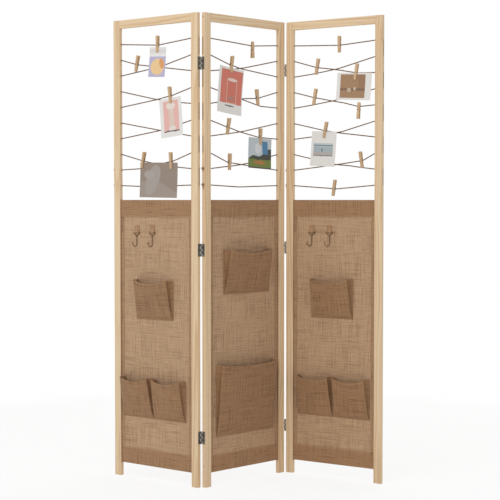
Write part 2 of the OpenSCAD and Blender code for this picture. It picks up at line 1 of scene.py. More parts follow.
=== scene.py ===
"""Folding room divider: pine frames laced with twine over burlap with sewn pockets, pegs, prints and hooks.

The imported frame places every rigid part. The classes here make the cloth, twine, pegs, springs, prints,
hooks and screws around it, in millimetres on each panel, and dress the wood and metal that stays.
"""

import logging
import math
from collections.abc import Iterable, Sequence
from dataclasses import dataclass
from enum import Enum
from functools import cache, cached_property
from typing import Any

import bmesh
import bpy
import numpy as np
from mathutils import Matrix, Vector, noise


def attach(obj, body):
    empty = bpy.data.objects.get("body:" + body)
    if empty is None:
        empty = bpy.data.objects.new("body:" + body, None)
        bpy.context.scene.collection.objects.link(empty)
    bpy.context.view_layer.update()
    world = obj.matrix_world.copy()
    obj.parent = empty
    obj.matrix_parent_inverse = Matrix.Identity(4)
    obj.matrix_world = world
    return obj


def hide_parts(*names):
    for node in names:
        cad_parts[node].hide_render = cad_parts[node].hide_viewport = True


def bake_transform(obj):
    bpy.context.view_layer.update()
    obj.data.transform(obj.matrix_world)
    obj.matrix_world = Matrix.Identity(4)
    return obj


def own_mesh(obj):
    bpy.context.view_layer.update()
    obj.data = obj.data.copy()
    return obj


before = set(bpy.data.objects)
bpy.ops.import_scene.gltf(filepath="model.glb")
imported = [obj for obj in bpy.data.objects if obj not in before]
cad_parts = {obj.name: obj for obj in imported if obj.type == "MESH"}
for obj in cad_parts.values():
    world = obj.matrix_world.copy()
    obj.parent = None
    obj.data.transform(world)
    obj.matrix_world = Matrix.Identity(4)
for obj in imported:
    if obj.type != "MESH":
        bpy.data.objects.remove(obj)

logging.basicConfig(level=logging.INFO, format="%(message)s")
log = logging.getLogger("divider")

MM = 0.001
TINY = 1e-9
Colour = tuple[float, float, float, float]
Place = tuple[float, float, float]


def srgb(red: float, green: float, blue: float) -> Colour:
    """Turns an 8-bit sRGB colour into Blender's linear one.

    Args:
        red: from 0 to 255, as are the others.
        green: the second part.
        blue: the third part.

    Returns:
        The linear colour, opaque.
    """
    parts = (v / 255 for v in (red, green, blue))
    linear = [v / 12.92 if v <= 0.04045 else ((v + 0.055) / 1.055) ** 2.4 for v in parts]
    return (linear[0], linear[1], linear[2], 1.0)


# ---- Node trees ----


class Value:
    """A node's output in an expression: arithmetic on it adds Math or Vector Math nodes."""

    def __init__(self, graph: "Graph", socket: bpy.types.NodeSocket) -> None:
        """Wraps an output of a graph's node."""
        self.graph = graph
        self.socket = socket

    def _math(self, operation: str, *operands: "Operand") -> "Value":
        """Adds one arithmetic node.

        Args:
            operation: Blender's name of the operation.
            operands: numbers, vectors or other values, in order.

        Returns:
            The node's result.
        """
        vectors = (isinstance(o, tuple) or (isinstance(o, Value) and o.socket.type == "VECTOR")
                   for o in operands)
        kind = "ShaderNodeVectorMath" if any(vectors) else "ShaderNodeMath"
        return self.graph.out(kind, {"operation": operation}, dict(enumerate(operands)))

    def __add__(self, other: "Operand") -> "Value":
        """Adds."""
        return self._math("ADD", self, other)

    def __radd__(self, other: "Operand") -> "Value":
        """Adds to a number."""
        return self._math("ADD", other, self)

    def __sub__(self, other: "Operand") -> "Value":
        """Subtracts."""
        return self._math("SUBTRACT", self, other)

    def __rsub__(self, other: "Operand") -> "Value":
        """Subtracts from a number."""
        return self._math("SUBTRACT", other, self)

    def __mul__(self, other: "Operand") -> "Value":
        """Multiplies."""
        return self._math("MULTIPLY", self, other)

    def __rmul__(self, other: "Operand") -> "Value":
        """Multiplies a number."""
        return self._math("MULTIPLY", other, self)

    def __truediv__(self, other: "Operand") -> "Value":
        """Divides."""
        return self._math("DIVIDE", self, other)

    def __rtruediv__(self, other: "Operand") -> "Value":
        """Divides a number."""
        return self._math("DIVIDE", other, self)

    def __gt__(self, other: "Operand") -> "Value":
        """Gives 1 where this is greater."""
        return self._math("GREATER_THAN", self, other)

    def floor(self) -> "Value":
        """Rounds down."""
        return self._math("FLOOR", self)

    def sin(self) -> "Value":
        """Gives the sine."""
        return self._math("SINE", self)

    def cos(self) -> "Value":
        """Gives the cosine."""
        return self._math("COSINE", self)

    def most(self, other: "Operand") -> "Value":
        """Gives the greater of two."""
        return self._math("MAXIMUM", self, other)

    def least(self, other: "Operand") -> "Value":
        """Gives the lesser of two."""
        return self._math("MINIMUM", self, other)

    def length(self) -> "Value":
        """Gives a vector's length."""
        return self.graph.out("ShaderNodeVectorMath", {"operation": "LENGTH"}, {0: self}, "Value")

    def ease(self, low: float, high: float) -> "Value":
        """Goes smoothly from 0 at low to 1 at high."""
        values = {"Value": self, "From Min": low, "From Max": high}
        return self.graph.out("ShaderNodeMapRange", {"interpolation_type": "SMOOTHSTEP"}, values)

    def parts(self) -> tuple["Value", "Value", "Value"]:
        """Splits a vector."""
        made = self.graph.node("ShaderNodeSeparateXYZ", values={0: self})
        return tuple(Value(self.graph, made.outputs[i]) for i in range(3))


Operand = Value | float | tuple[float, float, float]


class Graph:
    """Adds nodes to a tree and links them."""

    def __init__(self, tree: bpy.types.NodeTree) -> None:
        """Keeps the tree that the nodes go into."""
        self.tree = tree

    def node(self, kind: str, settings: dict[str, Any] | None = None,
             values: dict[str | int, Any] | None = None) -> bpy.types.Node:
        """Adds any node.

        Args:
            kind: Blender's type of the node.
            settings: its properties, set first.
            values: constants or Values for its inputs, by name or index.

        Returns:
            The node.
        """
        made = self.tree.nodes.new(kind)
        for name, setting in (settings or {}).items():
            setattr(made, name, setting)
        for key, value in (values or {}).items():
            if isinstance(value, Value):
                self.tree.links.new(value.socket, made.inputs[key])
            else:
                made.inputs[key].default_value = value
        return made

    def out(self, kind: str, settings: dict[str, Any] | None = None,
            values: dict[str | int, Any] | None = None, output: str | int = 0) -> Value:
        """Adds any node and gives one of its outputs, the first if none is named."""
        return Value(self, self.node(kind, settings, values).outputs[output])

    def vector(self, x: Operand, y: Operand, z: Operand) -> Value:
        """Joins three numbers."""
        return self.out("ShaderNodeCombineXYZ", values={0: x, 1: y, 2: z})


# The Mix node's colour inputs and output, which share their names with its number and vector ones.
MIX_SHARE, MIX_FIRST, MIX_SECOND, MIX_RESULT = 0, 6, 7, 2


class Paint(Graph):
    """The shader tree of one material."""

    def __init__(self, name: str) -> None:
        """Starts an empty material.

        Args:
            name: the material's name.
        """
        self.material = bpy.data.materials.new(name)
        self.material.use_nodes = True
        super().__init__(self.material.node_tree)
        self.tree.nodes.clear()

    def spot(self) -> Value:
        """Gives Object coordinates, in metres."""
        return self.out("ShaderNodeTexCoord", output="Object")

    def carried(self, name: str) -> Value:
        """Gives a vector attribute of the piece."""
        return self.out("ShaderNodeAttribute", {"attribute_name": name}, output="Vector")

    def turned(self, at: Value, degrees: float) -> Value:
        """Turns coordinates back about Z by a panel's heading."""
        turn = (0.0, 0.0, -math.radians(degrees))
        return self.out("ShaderNodeMapping", values={"Vector": at, "Rotation": turn})

    def grit(self, at: Value, scale: float, detail: float = 2.0, rough: float = 0.5) -> Value:
        """Gives a smooth noise from 0 to 1."""
        values = {"Vector": at, "Scale": scale, "Detail": detail, "Roughness": rough}
        return self.out("ShaderNodeTexNoise", values=values)

    def mixed(self, share: Operand, first: Any, second: Any) -> Value:
        """Mixes two colours."""
        values = {MIX_SHARE: share, MIX_FIRST: first, MIX_SECOND: second}
        return self.out("ShaderNodeMix", {"data_type": "RGBA", "clamp_factor": True}, values, MIX_RESULT)

    def bump(self, height: Value, depth: float, strength: float = 1.0) -> Value:
        """Turns a height from 0 to 1 into a normal; depth is in metres."""
        return self.out("ShaderNodeBump", values={"Height": height, "Distance": depth, "Strength": strength})

    def surface(self, values: dict[str, Any], see_through: Value | None = None) -> bpy.types.Material:
        """Ends the material in its shader.

        Args:
            values: inputs of the shader.
            see_through: a factor that mixes in full transparency.

        Returns:
            The material.
        """
        shader = self.out("ShaderNodeBsdfPrincipled", values=values)
        if see_through is not None:
            clear = self.out("ShaderNodeBsdfTransparent")
            shader = self.out("ShaderNodeMixShader", values={0: see_through, 1: shader, 2: clear})
        self.node("ShaderNodeOutputMaterial", values={"Surface": shader})
        return self.material


class Growth(Graph):
    """A Geometry Nodes tree with named inputs that ends in Realize Instances and Set Material."""

    def __init__(self, name: str, inputs: dict[str, str]) -> None:
        """Starts the tree with its inputs and its output.

        Args:
            name: the tree's name.
            inputs: the kind of socket of each input, by its name.
        """
        super().__init__(bpy.data.node_groups.new(name, "GeometryNodeTree"))
        face = self.tree.interface
        wanted = {"Geometry": "NodeSocketGeometry", **inputs, "Finish": "NodeSocketMaterial"}
        for label, kind in wanted.items():
            face.new_socket(label, in_out="INPUT", socket_type=kind)
        face.new_socket("Geometry", in_out="OUTPUT", socket_type="NodeSocketGeometry")
        self.entry = self.node("NodeGroupInput")

    def given(self, label: str) -> Value:
        """Gives one of the tree's inputs."""
        return Value(self, self.entry.outputs[label])

    def route(self, step: Value) -> Value:
        """Turns the given edges into a curve with points a step apart."""
        curve = self.out("GeometryNodeMeshToCurve", values={0: self.given("Geometry")})
        return self.out("GeometryNodeResampleCurve", {"mode": "LENGTH"}, {"Curve": curve, "Length": step})

    def ring(self, radius: str) -> Value:
        """Gives a circle of the given sides, with one of the tree's inputs as its radius."""
        return self.out("GeometryNodeCurvePrimitiveCircle", {"mode": "RADIUS"},
                        {"Resolution": self.given("Sides"), "Radius": self.given(radius)})

    def swept(self, curve: Value, ring: Value) -> Value:
        """Sweeps a ring along a curve, with closed ends."""
        return self.out("GeometryNodeCurveToMesh",
                        values={"Curve": curve, "Profile Curve": ring, "Fill Caps": True})

    def held(self, name: str) -> Value:
        """Gives a vector that the points hold under a name."""
        return self.out("GeometryNodeInputNamedAttribute", {"data_type": "FLOAT_VECTOR"}, {"Name": name})

    def keep(self, geometry: Value, name: str, value: Value, kind: str = "FLOAT",
             domain: str = "POINT") -> Value:
        """Stores a value under a name, on the points unless another domain is named."""
        return self.out("GeometryNodeStoreNamedAttribute", {"data_type": kind, "domain": domain},
                        {"Geometry": geometry, "Name": name, "Value": value})

    def close(self, geometry: Value) -> bpy.types.NodeTree:
        """Ends the tree.

        Args:
            geometry: what the tree has made.

        Returns:
            The node tree.
        """
        real = self.out("GeometryNodeRealizeInstances", values={0: geometry})
        smooth = self.out("GeometryNodeSetShadeSmooth", values={"Geometry": real})
        dressed = self.out("GeometryNodeSetMaterial",
                           values={"Geometry": smooth, "Material": self.given("Finish")})
        self.node("NodeGroupOutput", values={0: dressed})
        return self.tree


@cache
def strand_growth() -> bpy.types.NodeTree:
    """Makes the tree that lays strands round a route, as twine is laid."""
    number = "NodeSocketFloat"
    tree = Growth("laid_twine", {"Step": number, "Strand Radius": number, "Lay Radius": number,
                                 "Pitch": number, "Strands": "NodeSocketInt", "Sides": "NodeSocketInt"})
    double = tree.node("GeometryNodeDuplicateElements", {"domain": "SPLINE"},
                       {"Geometry": tree.route(tree.given("Step")), "Amount": tree.given("Strands")})
    index = Value(tree, double.outputs["Duplicate Index"])
    along = tree.out("GeometryNodeSplineParameter", output="Length")
    angle = (along / tree.given("Pitch") + index / tree.given("Strands")) * math.tau
    normal = tree.out("GeometryNodeInputNormal")
    cross = tree.out("ShaderNodeVectorMath", {"operation": "CROSS_PRODUCT"},
                     {0: tree.out("GeometryNodeInputTangent"), 1: normal})
    shift = (normal * angle.cos() + cross * angle.sin()) * tree.given("Lay Radius")
    marked = tree.keep(Value(tree, double.outputs["Geometry"]), "along", along)
    laid = tree.out("GeometryNodeSetPosition", values={"Geometry": marked, "Offset": shift})
    around = tree.out("GeometryNodeSplineParameter", output="Factor")
    return tree.close(tree.swept(laid, tree.keep(tree.ring("Strand Radius"), "around", around)))


@cache
def wire_growth() -> bpy.types.NodeTree:
    """Makes the tree that sweeps a round wire along a route."""
    tree = Growth("bent_wire", {"Step": "NodeSocketFloat", "Radius": "NodeSocketFloat",
                                "Sides": "NodeSocketInt"})
    return tree.close(tree.swept(tree.route(tree.given("Step")), tree.ring("Radius")))


STITCH_FLATNESS = 0.8


@cache
def stitch_growth() -> bpy.types.NodeTree:
    """Makes the tree that sews short stitches along a route on cloth."""
    number = "NodeSocketFloat"
    tree = Growth("stitches", {"Pitch": number, "Length": number, "Thread": number})
    lengthwise = tree.out("FunctionNodeAlignRotationToVector", {"axis": "X"},
                          {"Vector": tree.out("GeometryNodeInputTangent")})
    upright = tree.out("FunctionNodeAlignRotationToVector", {"axis": "Z", "pivot_axis": "X"},
                       {"Rotation": lengthwise, "Vector": tree.held("facing")})
    bead = tree.out("GeometryNodeMeshIcoSphere", values={"Radius": 0.5, "Subdivisions": 1})
    size = tree.vector(tree.given("Length"), tree.given("Thread"), tree.given("Thread") * STITCH_FLATNESS)
    return tree.close(tree.out("GeometryNodeInstanceOnPoints",
                               values={"Points": tree.route(tree.given("Pitch")), "Instance": bead,
                                       "Rotation": upright, "Scale": size}))


SCATTER_SEED = 7


@cache
def scatter_growth() -> bpy.types.NodeTree:
    """Makes the tree that sets copies of a piece at points that hold a turn."""
    tree = Growth("set_out", {"Piece": "NodeSocketObject"})
    points = tree.out("GeometryNodeMeshToPoints", values={0: tree.given("Geometry")})
    piece = tree.out("GeometryNodeObjectInfo", values={"Object": tree.given("Piece")}, output="Geometry")
    turn = tree.out("FunctionNodeEulerToRotation", values={0: tree.held("turn")})
    copies = tree.out("GeometryNodeInstanceOnPoints",
                      values={"Points": points, "Instance": piece, "Rotation": turn})
    spread = tree.out("FunctionNodeRandomValue", {"data_type": "FLOAT_VECTOR"},
                      {"Max": (1.0, 1.0, 1.0), "Seed": SCATTER_SEED})
    copies = tree.keep(copies, "shift", spread, "FLOAT_VECTOR", "INSTANCE")
    real = tree.out("GeometryNodeRealizeInstances", values={0: copies})
    return tree.close(tree.keep(real, "grain", tree.held("grain") + tree.held("shift"), "FLOAT_VECTOR"))


def placed(name: str, data: bpy.types.ID) -> bpy.types.Object:
    """Puts a new object with its data into the scene."""
    made = bpy.data.objects.new(name, data)
    bpy.context.scene.collection.objects.link(made)
    return made


def grow(tree: bpy.types.NodeTree, source: bpy.types.Mesh, given: dict[str, Any]) -> bpy.types.Mesh:
    """Runs a Geometry Nodes tree on a source mesh.

    Args:
        tree: which tree.
        source: the edges or points that it starts from.
        given: its inputs by name.

    Returns:
        The evaluated result as a plain mesh.
    """
    seed = placed("seed", source)
    modifier = seed.modifiers.new("grow", "NODES")
    modifier.node_group = tree
    for item in tree.interface.items_tree:
        if item.item_type == "SOCKET" and item.in_out == "INPUT" and item.name in given:
            modifier[item.identifier] = given[item.name]
    evaluated = seed.evaluated_get(bpy.context.evaluated_depsgraph_get())
    mesh = bpy.data.meshes.new_from_object(evaluated)
    seed.modifiers.remove(modifier)
    bpy.data.objects.remove(seed)
    return mesh


# ---- Finishes ----


class Finish:
    """A material that is made once, when a piece first wears it."""

    name: str

    def paint(self, on: Paint) -> bpy.types.Material:
        """Fills the material's tree."""
        raise NotImplementedError

    def material(self) -> bpy.types.Material:
        """Gives the material, made at the first call."""
        return bpy.data.materials.get(self.name) or self.paint(Paint(self.name))


class Along(Enum):
    """The direction of a board's grain: up its panel, across it, or as the piece carries it."""

    UPRIGHT = "z"
    ACROSS = "x"
    PIECE = "piece"


@dataclass(frozen=True)
class Wood(Finish):
    """Planed pale softwood: growth lines that waver and fade, darker streaks and fine fibres."""

    name: str
    along: Along
    heading: float = 0.0
    early: Colour = srgb(233, 207, 171)
    late: Colour = srgb(198, 155, 106)
    ring: float = 0.0046
    waver: float = 0.03
    spread: float = 0.055
    line: tuple[float, float] = (0.14, 0.42)
    fibre: float = 0.7
    tone: float = 0.7
    vein: float = 0.34
    roughness: float = 0.52

    def places(self, on: Paint) -> tuple[Value, Value, Value]:
        """Gives the place across, through and along the board."""
        if self.along is Along.PIECE:
            return on.carried("grain").parts()
        across, through, up = on.turned(on.spot(), self.heading).parts()
        return (across, through, up) if self.along is Along.UPRIGHT else (up, through, across)

    def paint(self, on: Paint) -> bpy.types.Material:
        """Lays growth rings, each of its own strength, under fibres, veins and a slow change of tone.

        Args:
            on: the empty material.

        Returns:
            The material.
        """
        across, through, run = self.places(on)
        slow = on.grit(on.vector(across * 9, through * 9, run * 1.3), 1.0, 2.0)
        close = on.grit(on.vector(across * 60, through * 60, run * 5.0), 1.0, 1.5)
        wide = (across * (1.15 / self.spread) + 1.3).sin() * self.spread
        deep = (through * (1.25 / self.spread) + 0.7).sin() * self.spread
        pith = on.vector(wide + (slow - 0.5) * self.waver, deep + run * 0.01, 0.0).length()
        rings = pith / self.ring + (close - 0.5) * 0.5
        number = rings.floor()
        phase = rings - number
        line = phase.ease(0.2, 0.93) * (1 - phase.ease(0.94, 1.0))
        strength = on.grit(on.vector(number * 7.31, run * 1.6, 0.0), 1.0, 1.0).ease(0.3, 0.7)
        hair = on.grit(on.vector(across * 1500, through * 1500, run * 26), 1.0, 3.0, 0.6)
        vein = on.grit(on.vector(across * 170, through * 170, run * 2.6 + 5.0), 1.0, 2.0, 0.6)
        tone = on.grit(on.vector(across * 5, through * 5, run * 1.1 + 3.7), 1.0, 1.0)
        least, more = self.line
        share = line * (least + strength * more) + (hair - 0.5) * self.fibre + (tone - 0.5) * self.tone
        share = share + vein.ease(0.52, 0.74) * self.vein
        colour = on.mixed(share.most(0.0).least(1.0), self.early, self.late)
        colour = on.mixed(hair.ease(0.62, 0.8) * 0.4, colour, self.late)
        height = hair * 0.6 + line * 0.4
        values = {"Base Color": colour, "Roughness": self.roughness + (hair - 0.5) * 0.16,
                  "Normal": on.bump(height, 0.00016, 0.45), "Specular IOR Level": 0.35}
        return on.surface(values)


@dataclass(frozen=True)
class Weave(Finish):
    """Plain-woven jute cloth: uneven threads over and under, open between them in a single layer."""

    name: str
    light: Colour
    dark: Colour
    # doubled: the colour of cloth in two layers, darker as painted shade for the light that two layers keep
    # from shining through
    doubled: Colour
    pitch: float
    slub: float = 1.0
    gaps: float = 1.0
    depth: float = 0.0004
    wander: float = 1.2
    thin: float = 6.4
    swell: float = 4.2
    darkness: float = 0.34
    patches: float = 0.2
    # painted shade in the hollows between threads and painted highlight on their crowns, by the weave's
    # height
    relief: float = 0.22

    def paint(self, on: Paint) -> bpy.types.Material:
        """Weaves warp and weft from the cloth's own flat coordinates.

        Args:
            on: the empty material.

        Returns:
            The material.
        """
        flat = on.carried("cloth")
        across, up, layers = flat.parts()
        warp = across / self.pitch + (on.grit(on.vector(across * 3, up, 0.0), 9.0, 2.0) - 0.5) * self.wander
        weft = up / self.pitch + (on.grit(on.vector(across, up * 3, 2.0), 9.0, 2.0) - 0.5) * self.wander
        warp_no, weft_no = warp.floor(), weft.floor()
        warp_in, weft_in = warp - warp_no - 0.5, weft - weft_no - 0.5
        warp_fat = on.grit(on.vector(warp_no * 3.17, up * 42, 0.0), 1.0, 1.0)
        weft_fat = on.grit(on.vector(weft_no * 2.71, across * 42, 9.0), 1.0, 1.0)
        over = ((weft + warp_no) * math.pi).sin()
        under = ((warp + weft_no) * math.pi).sin()
        warp_round = 1 - (warp_in * warp_in) * (self.thin - warp_fat * self.swell)
        weft_round = 1 - (weft_in * weft_in) * (self.thin - weft_fat * self.swell)
        warp_high = warp_round * 0.62 + over * 0.38
        weft_high = weft_round * 0.62 - under * 0.38
        height = warp_high.most(weft_high)
        on_top = warp_high > weft_high
        thread = on_top * warp_fat + (1 - on_top) * weft_fat
        tall = on.grit(on.vector(across * 330, up * 9, 4.0), 1.0, 1.0)
        wide = on.grit(on.vector(across * 9, up * 330, 7.0), 1.0, 1.0)
        streak = (thread - 0.5) * 1.2 + (tall - 0.5) * 0.9 + (wide - 0.5) * 0.9
        thick = tall.ease(0.56, 0.72) * 0.25 + wide.ease(0.56, 0.72) * 0.25
        patch = on.grit(on.vector(across, up, 11.0), 7.0, 2.0)
        share = self.darkness + (streak + thick) * self.slub + (patch - 0.5) * self.patches
        # Painted shade and highlight: the colour darkens where the weave lies low and lightens where threads
        # stand high.
        share = share - height.ease(-0.2, 1.0) * self.relief
        single = on.mixed(share.most(0.0).least(1.0), self.light, self.dark)
        # Painted shade: doubled cloth takes the darker doubled colour, by its layers.
        double = on.mixed((share * 2.0 - 0.4).most(0.0).least(1.0), self.doubled, self.dark)
        colour = on.mixed(layers, single, double)
        open_part = (1 - warp_round.most(weft_round).ease(-0.05, 0.3)) * self.gaps
        alpha = 1 - open_part * (1 - layers)
        values = {"Base Color": colour, "Roughness": 0.88 - height.ease(0.0, 1.0) * 0.06, "Alpha": alpha,
                  "Normal": on.bump(height.most(-0.4), self.depth, 0.8), "Specular IOR Level": 0.2,
                  "Sheen Weight": 0.15, "Sheen Roughness": 0.6}
        return on.surface(values)


@dataclass(frozen=True)
class Jute(Finish):
    """Hairy spun jute, streaked along its strands."""

    name: str
    light: Colour = srgb(149, 114, 81)
    dark: Colour = srgb(76, 54, 36)

    def paint(self, on: Paint) -> bpy.types.Material:
        """Streaks each strand along its length.

        Args:
            on: the empty material.

        Returns:
            The material.
        """
        length = on.out("ShaderNodeAttribute", {"attribute_name": "along"}, output="Fac")
        around = on.out("ShaderNodeAttribute", {"attribute_name": "around"}, output="Fac")
        turn = around * math.tau
        skin = on.vector(turn.cos(), turn.sin(), length * 420)
        streak = on.grit(skin, 2.2, 3.0, 0.65)
        patch = on.grit(on.spot(), 26.0, 2.0)
        share = (streak * 1.1 + (patch - 0.5) * 0.9 - 0.1).most(0.0).least(1.0)
        colour = on.mixed(share, self.light, self.dark)
        return on.surface({"Base Color": colour, "Roughness": 0.85 + (streak - 0.5) * 0.1,
                           "Normal": on.bump(streak, 0.00025, 0.8), "Specular IOR Level": 0.2,
                           "Sheen Weight": 0.2})


@dataclass(frozen=True)
class Mottled(Finish):
    """A matt surface with a fine, faint mottle, such as thread or plain paper."""

    name: str
    light: Colour
    dark: Colour
    scale: float
    detail: float
    roughness: float
    depth: float
    strength: float

    def paint(self, on: Paint) -> bpy.types.Material:
        """Mottles the colour, the gloss and the surface together."""
        patch = on.grit(on.spot(), self.scale, self.detail)
        colour = on.mixed(patch, self.light, self.dark)
        return on.surface({"Base Color": colour, "Roughness": self.roughness + (patch - 0.5) * 0.1,
                           "Normal": on.bump(patch, self.depth, self.strength)})


@dataclass(frozen=True)
class Metal(Finish):
    """Drawn or pressed metal with fine scratches, and duller patches where hands and damp reach it."""

    name: str
    bright: Colour
    dull: Colour
    roughness: float
    stretch: Place = (220.0, 220.0, 1600.0)

    def paint(self, on: Paint) -> bpy.types.Material:
        """Scratches the metal along the stretch and clouds its gloss.

        Args:
            on: the empty material.

        Returns:
            The material.
        """
        at = on.spot()
        scratch = on.grit(at * self.stretch, 1.0, 3.0, 0.6)
        cloud = on.grit(at, 60.0, 3.0, 0.6)
        colour = on.mixed(cloud.ease(0.35, 0.75), self.bright, self.dull)
        rough = self.roughness + (cloud - 0.5) * 0.16 + (scratch - 0.5) * 0.1
        return on.surface({"Base Color": colour, "Metallic": 1.0, "Roughness": rough,
                           "Normal": on.bump(scratch, 0.00001, 0.3)})


class Picture(Enum):
    """The plain designs on the prints, from the upper left to the lower right."""

    LEAF = "print_leaf"
    COLUMN = "print_column"
    DUNE = "print_dune"
    JAR = "print_jar"
    MEADOW = "print_meadow"
    STILL = "print_still"
    SHORE = "print_shore"


@dataclass(frozen=True)
class PrintFace(Finish):
    """A generic design of soft shapes inside a paper margin."""

    picture: Picture
    paper: tuple[Colour, Colour] = (srgb(240, 238, 234), srgb(234, 231, 226))
    shade: Colour = srgb(120, 112, 104)
    shading: float = 0.12

    @property
    def name(self) -> str:
        """The material's name."""
        return self.picture.value

    @staticmethod
    def box(u: Value, v: Value, low: tuple[float, float], high: tuple[float, float]) -> Value:
        """Gives 1 inside a rectangle of the print."""
        edge = 0.006
        inside_u = u.ease(low[0] - edge, low[0] + edge) * (1 - u.ease(high[0] - edge, high[0] + edge))
        return inside_u * v.ease(low[1] - edge, low[1] + edge) * (1 - v.ease(high[1] - edge, high[1] + edge))

    @staticmethod
    def oval(u: Value, v: Value, middle: tuple[float, float], size: tuple[float, float],
             soft: float = 0.06) -> Value:
        """Gives 1 inside an oval of the print."""
        du, dv = (u - middle[0]) / size[0], (v - middle[1]) / size[1]
        return 1 - (du * du + dv * dv).ease(1 - soft, 1 + soft)

    def layers(self, on: Paint, u: Value, v: Value) -> Iterable[tuple[Value, Place]]:
        """Draws the design from the bottom up.

        Args:
            on: the material.
            u: the place across the print, from 0 to 1.
            v: the place up the print, from 0 to 1.

        Yields:
            A mask of each shape, and its 8-bit colour.
        """
        grain = on.grit(on.vector(u, v, 0.0), 5.0, 3.0) - 0.5
        wave_u, wave_v = u + grain * 0.08, v + grain * 0.1
        box, oval = self.box, self.oval
        if self.picture is Picture.LEAF:
            yield box(u, v, (-1, -1), (2, 0.69)), (190, 184, 212)
            yield box(u, v, (-1, 0.69), (2, 0.715)), (246, 244, 242)
            yield box(u, v, (-1, 0.8), (2, 0.93)), (226, 222, 222)
            yield oval(wave_u, wave_v, (0.5, 0.34), (0.4, 0.27)), (242, 205, 150)
            yield oval(u + (v - 0.45) * 0.3, v, (0.76, 0.45), (0.15, 0.17)), (226, 160, 96)
            yield oval(u, v, (0.38, 0.3), (0.03, 0.02)), (228, 188, 140)
        elif self.picture is Picture.COLUMN:
            yield box(u, v, (0.15, 0.14), (0.85, 0.93)), (236, 184, 176)
            yield box(wave_u, v, (0.4, 0.2), (0.62, 0.82)), (226, 206, 192)
            yield oval(u, v, (0.5, 0.8), (0.2, 0.09)), (238, 226, 216)
            yield oval(u, v, (0.52, 0.22), (0.16, 0.06)), (236, 224, 216)
            yield box(u, wave_v, (0.15, 0.13), (0.85, 0.165)), (92, 80, 88)
        elif self.picture is Picture.DUNE:
            yield box(u, v, (-1, -1), (2, 2)), (150, 133, 119)
            hill = (wave_u * 3.4 + 0.6).sin() * 0.2 + 0.3
            yield (hill - v).ease(-0.01, 0.01), (161, 147, 136)
            yield oval(wave_u - (v - 0.5) * 0.22, v, (0.34, 0.5), (0.17, 0.44)), (168, 158, 150)
            yield oval(u, v, (0.24, 0.66), (0.13, 0.12)), (172, 163, 156)
        elif self.picture is Picture.JAR:
            yield box(u, v, (0.1, 0.22), (0.97, 0.95)), (216, 122, 104)
            yield box(u, v, (0.36, 0.22), (0.76, 0.74)), (228, 196, 176)
            yield box(u, v, (0.38, 0.24), (0.74, 0.72)), (212, 118, 100)
            yield oval(u, v, (0.56, 0.74), (0.2, 0.035)), (236, 214, 198)
            yield oval(u, v, (0.55, 0.34), (0.13, 0.05)), (186, 132, 116)
            yield oval(u, v, (0.5, 0.17), (0.2, 0.016)), (112, 108, 110)
        elif self.picture is Picture.MEADOW:
            yield box(u, v, (-1, -1), (2, 2)), (196, 206, 210)
            trees = (wave_u * 9).sin() * 0.06 + wave_u * 0.34 + 0.3
            yield (trees - v).ease(-0.01, 0.02), (58, 60, 48)
            yield box(u, wave_v, (-1, -1), (2, 0.3)), (112, 130, 56)
            yield oval(u, wave_v, (0.5, 0.2), (0.26, 0.07)), (176, 122, 62)
            yield box(u + (v - 0.6) * 0.12, v, (0.62, 0.48), (0.86, 0.9)), (78, 132, 172)
            yield oval(u, v, (0.42, 0.66), (0.13, 0.17)), (222, 224, 228)
            yield box(u, v, (-1, -1), (2, 0.04)), (72, 44, 66)
        elif self.picture is Picture.STILL:
            yield box(u, v, (0.1, 0.08), (0.82, 0.94)), (166, 128, 92)
            yield box(u, wave_v, (0.1, 0.34), (0.82, 0.44)), (128, 96, 76)
            yield box(u, v, (0.62, 0.44), (0.82, 0.94)), (156, 116, 84)
            yield oval(u, v, (0.36, 0.37), (0.06, 0.08)), (196, 178, 150)
            yield oval(u, v, (0.52, 0.42), (0.04, 0.06)), (200, 186, 160)
        else:
            yield box(u, v, (0.1, 0.3), (0.88, 0.66)), (170, 184, 190)
            yield box(u, v, (0.1, 0.56), (0.88, 0.66)), (196, 206, 210)
            yield box(u, wave_v, (0.1, 0.3), (0.88, 0.4)), (186, 176, 172)
            yield box(u, v, (0.1, 0.585), (0.88, 0.61)), (84, 104, 116)
            yield oval(u, v, (0.44, 0.46), (0.025, 0.05)), (96, 92, 96)
            yield box(u, v, (0.1, 0.295), (0.88, 0.315)), (98, 100, 108)

    def paint(self, on: Paint) -> bpy.types.Material:
        """Prints the shapes on satin paper.

        Args:
            on: the empty material.

        Returns:
            The material.
        """
        u, v, _ = on.carried("cloth").parts()
        tooth = on.grit(on.vector(u, v, 3.0), 160.0, 3.0)
        colour = on.mixed(tooth, *self.paper)
        for share, ink in self.layers(on, u, v):
            colour = on.mixed(share, colour, srgb(*ink))
        colour = on.mixed(tooth * self.shading, colour, self.shade)
        return on.surface({"Base Color": colour, "Roughness": 0.42 + (tooth - 0.5) * 0.1,
                           "Normal": on.bump(tooth, 0.00002, 0.3)})


# The burlap's doubled colour is darker than its light one: painted shade for the light that the doubled hems
# and bands keep from shining through.
BURLAP = Weave("open_weave", srgb(201, 166, 131), srgb(126, 91, 63), srgb(170, 131, 95), 0.0021, slub=0.8)
POCKET_CLOTH = Weave("pocket_cloth", srgb(168, 129, 93), srgb(106, 75, 49), srgb(167, 128, 92), 0.0015,
                     slub=0.95, gaps=0.0, depth=0.0003)
TAB_CLOTH = Weave("tab_cloth", srgb(180, 141, 103), srgb(122, 90, 62), srgb(180, 141, 103), 0.0011,
                  slub=0.6, gaps=0.0, depth=0.0002)
JUTE = Jute("laid_jute")
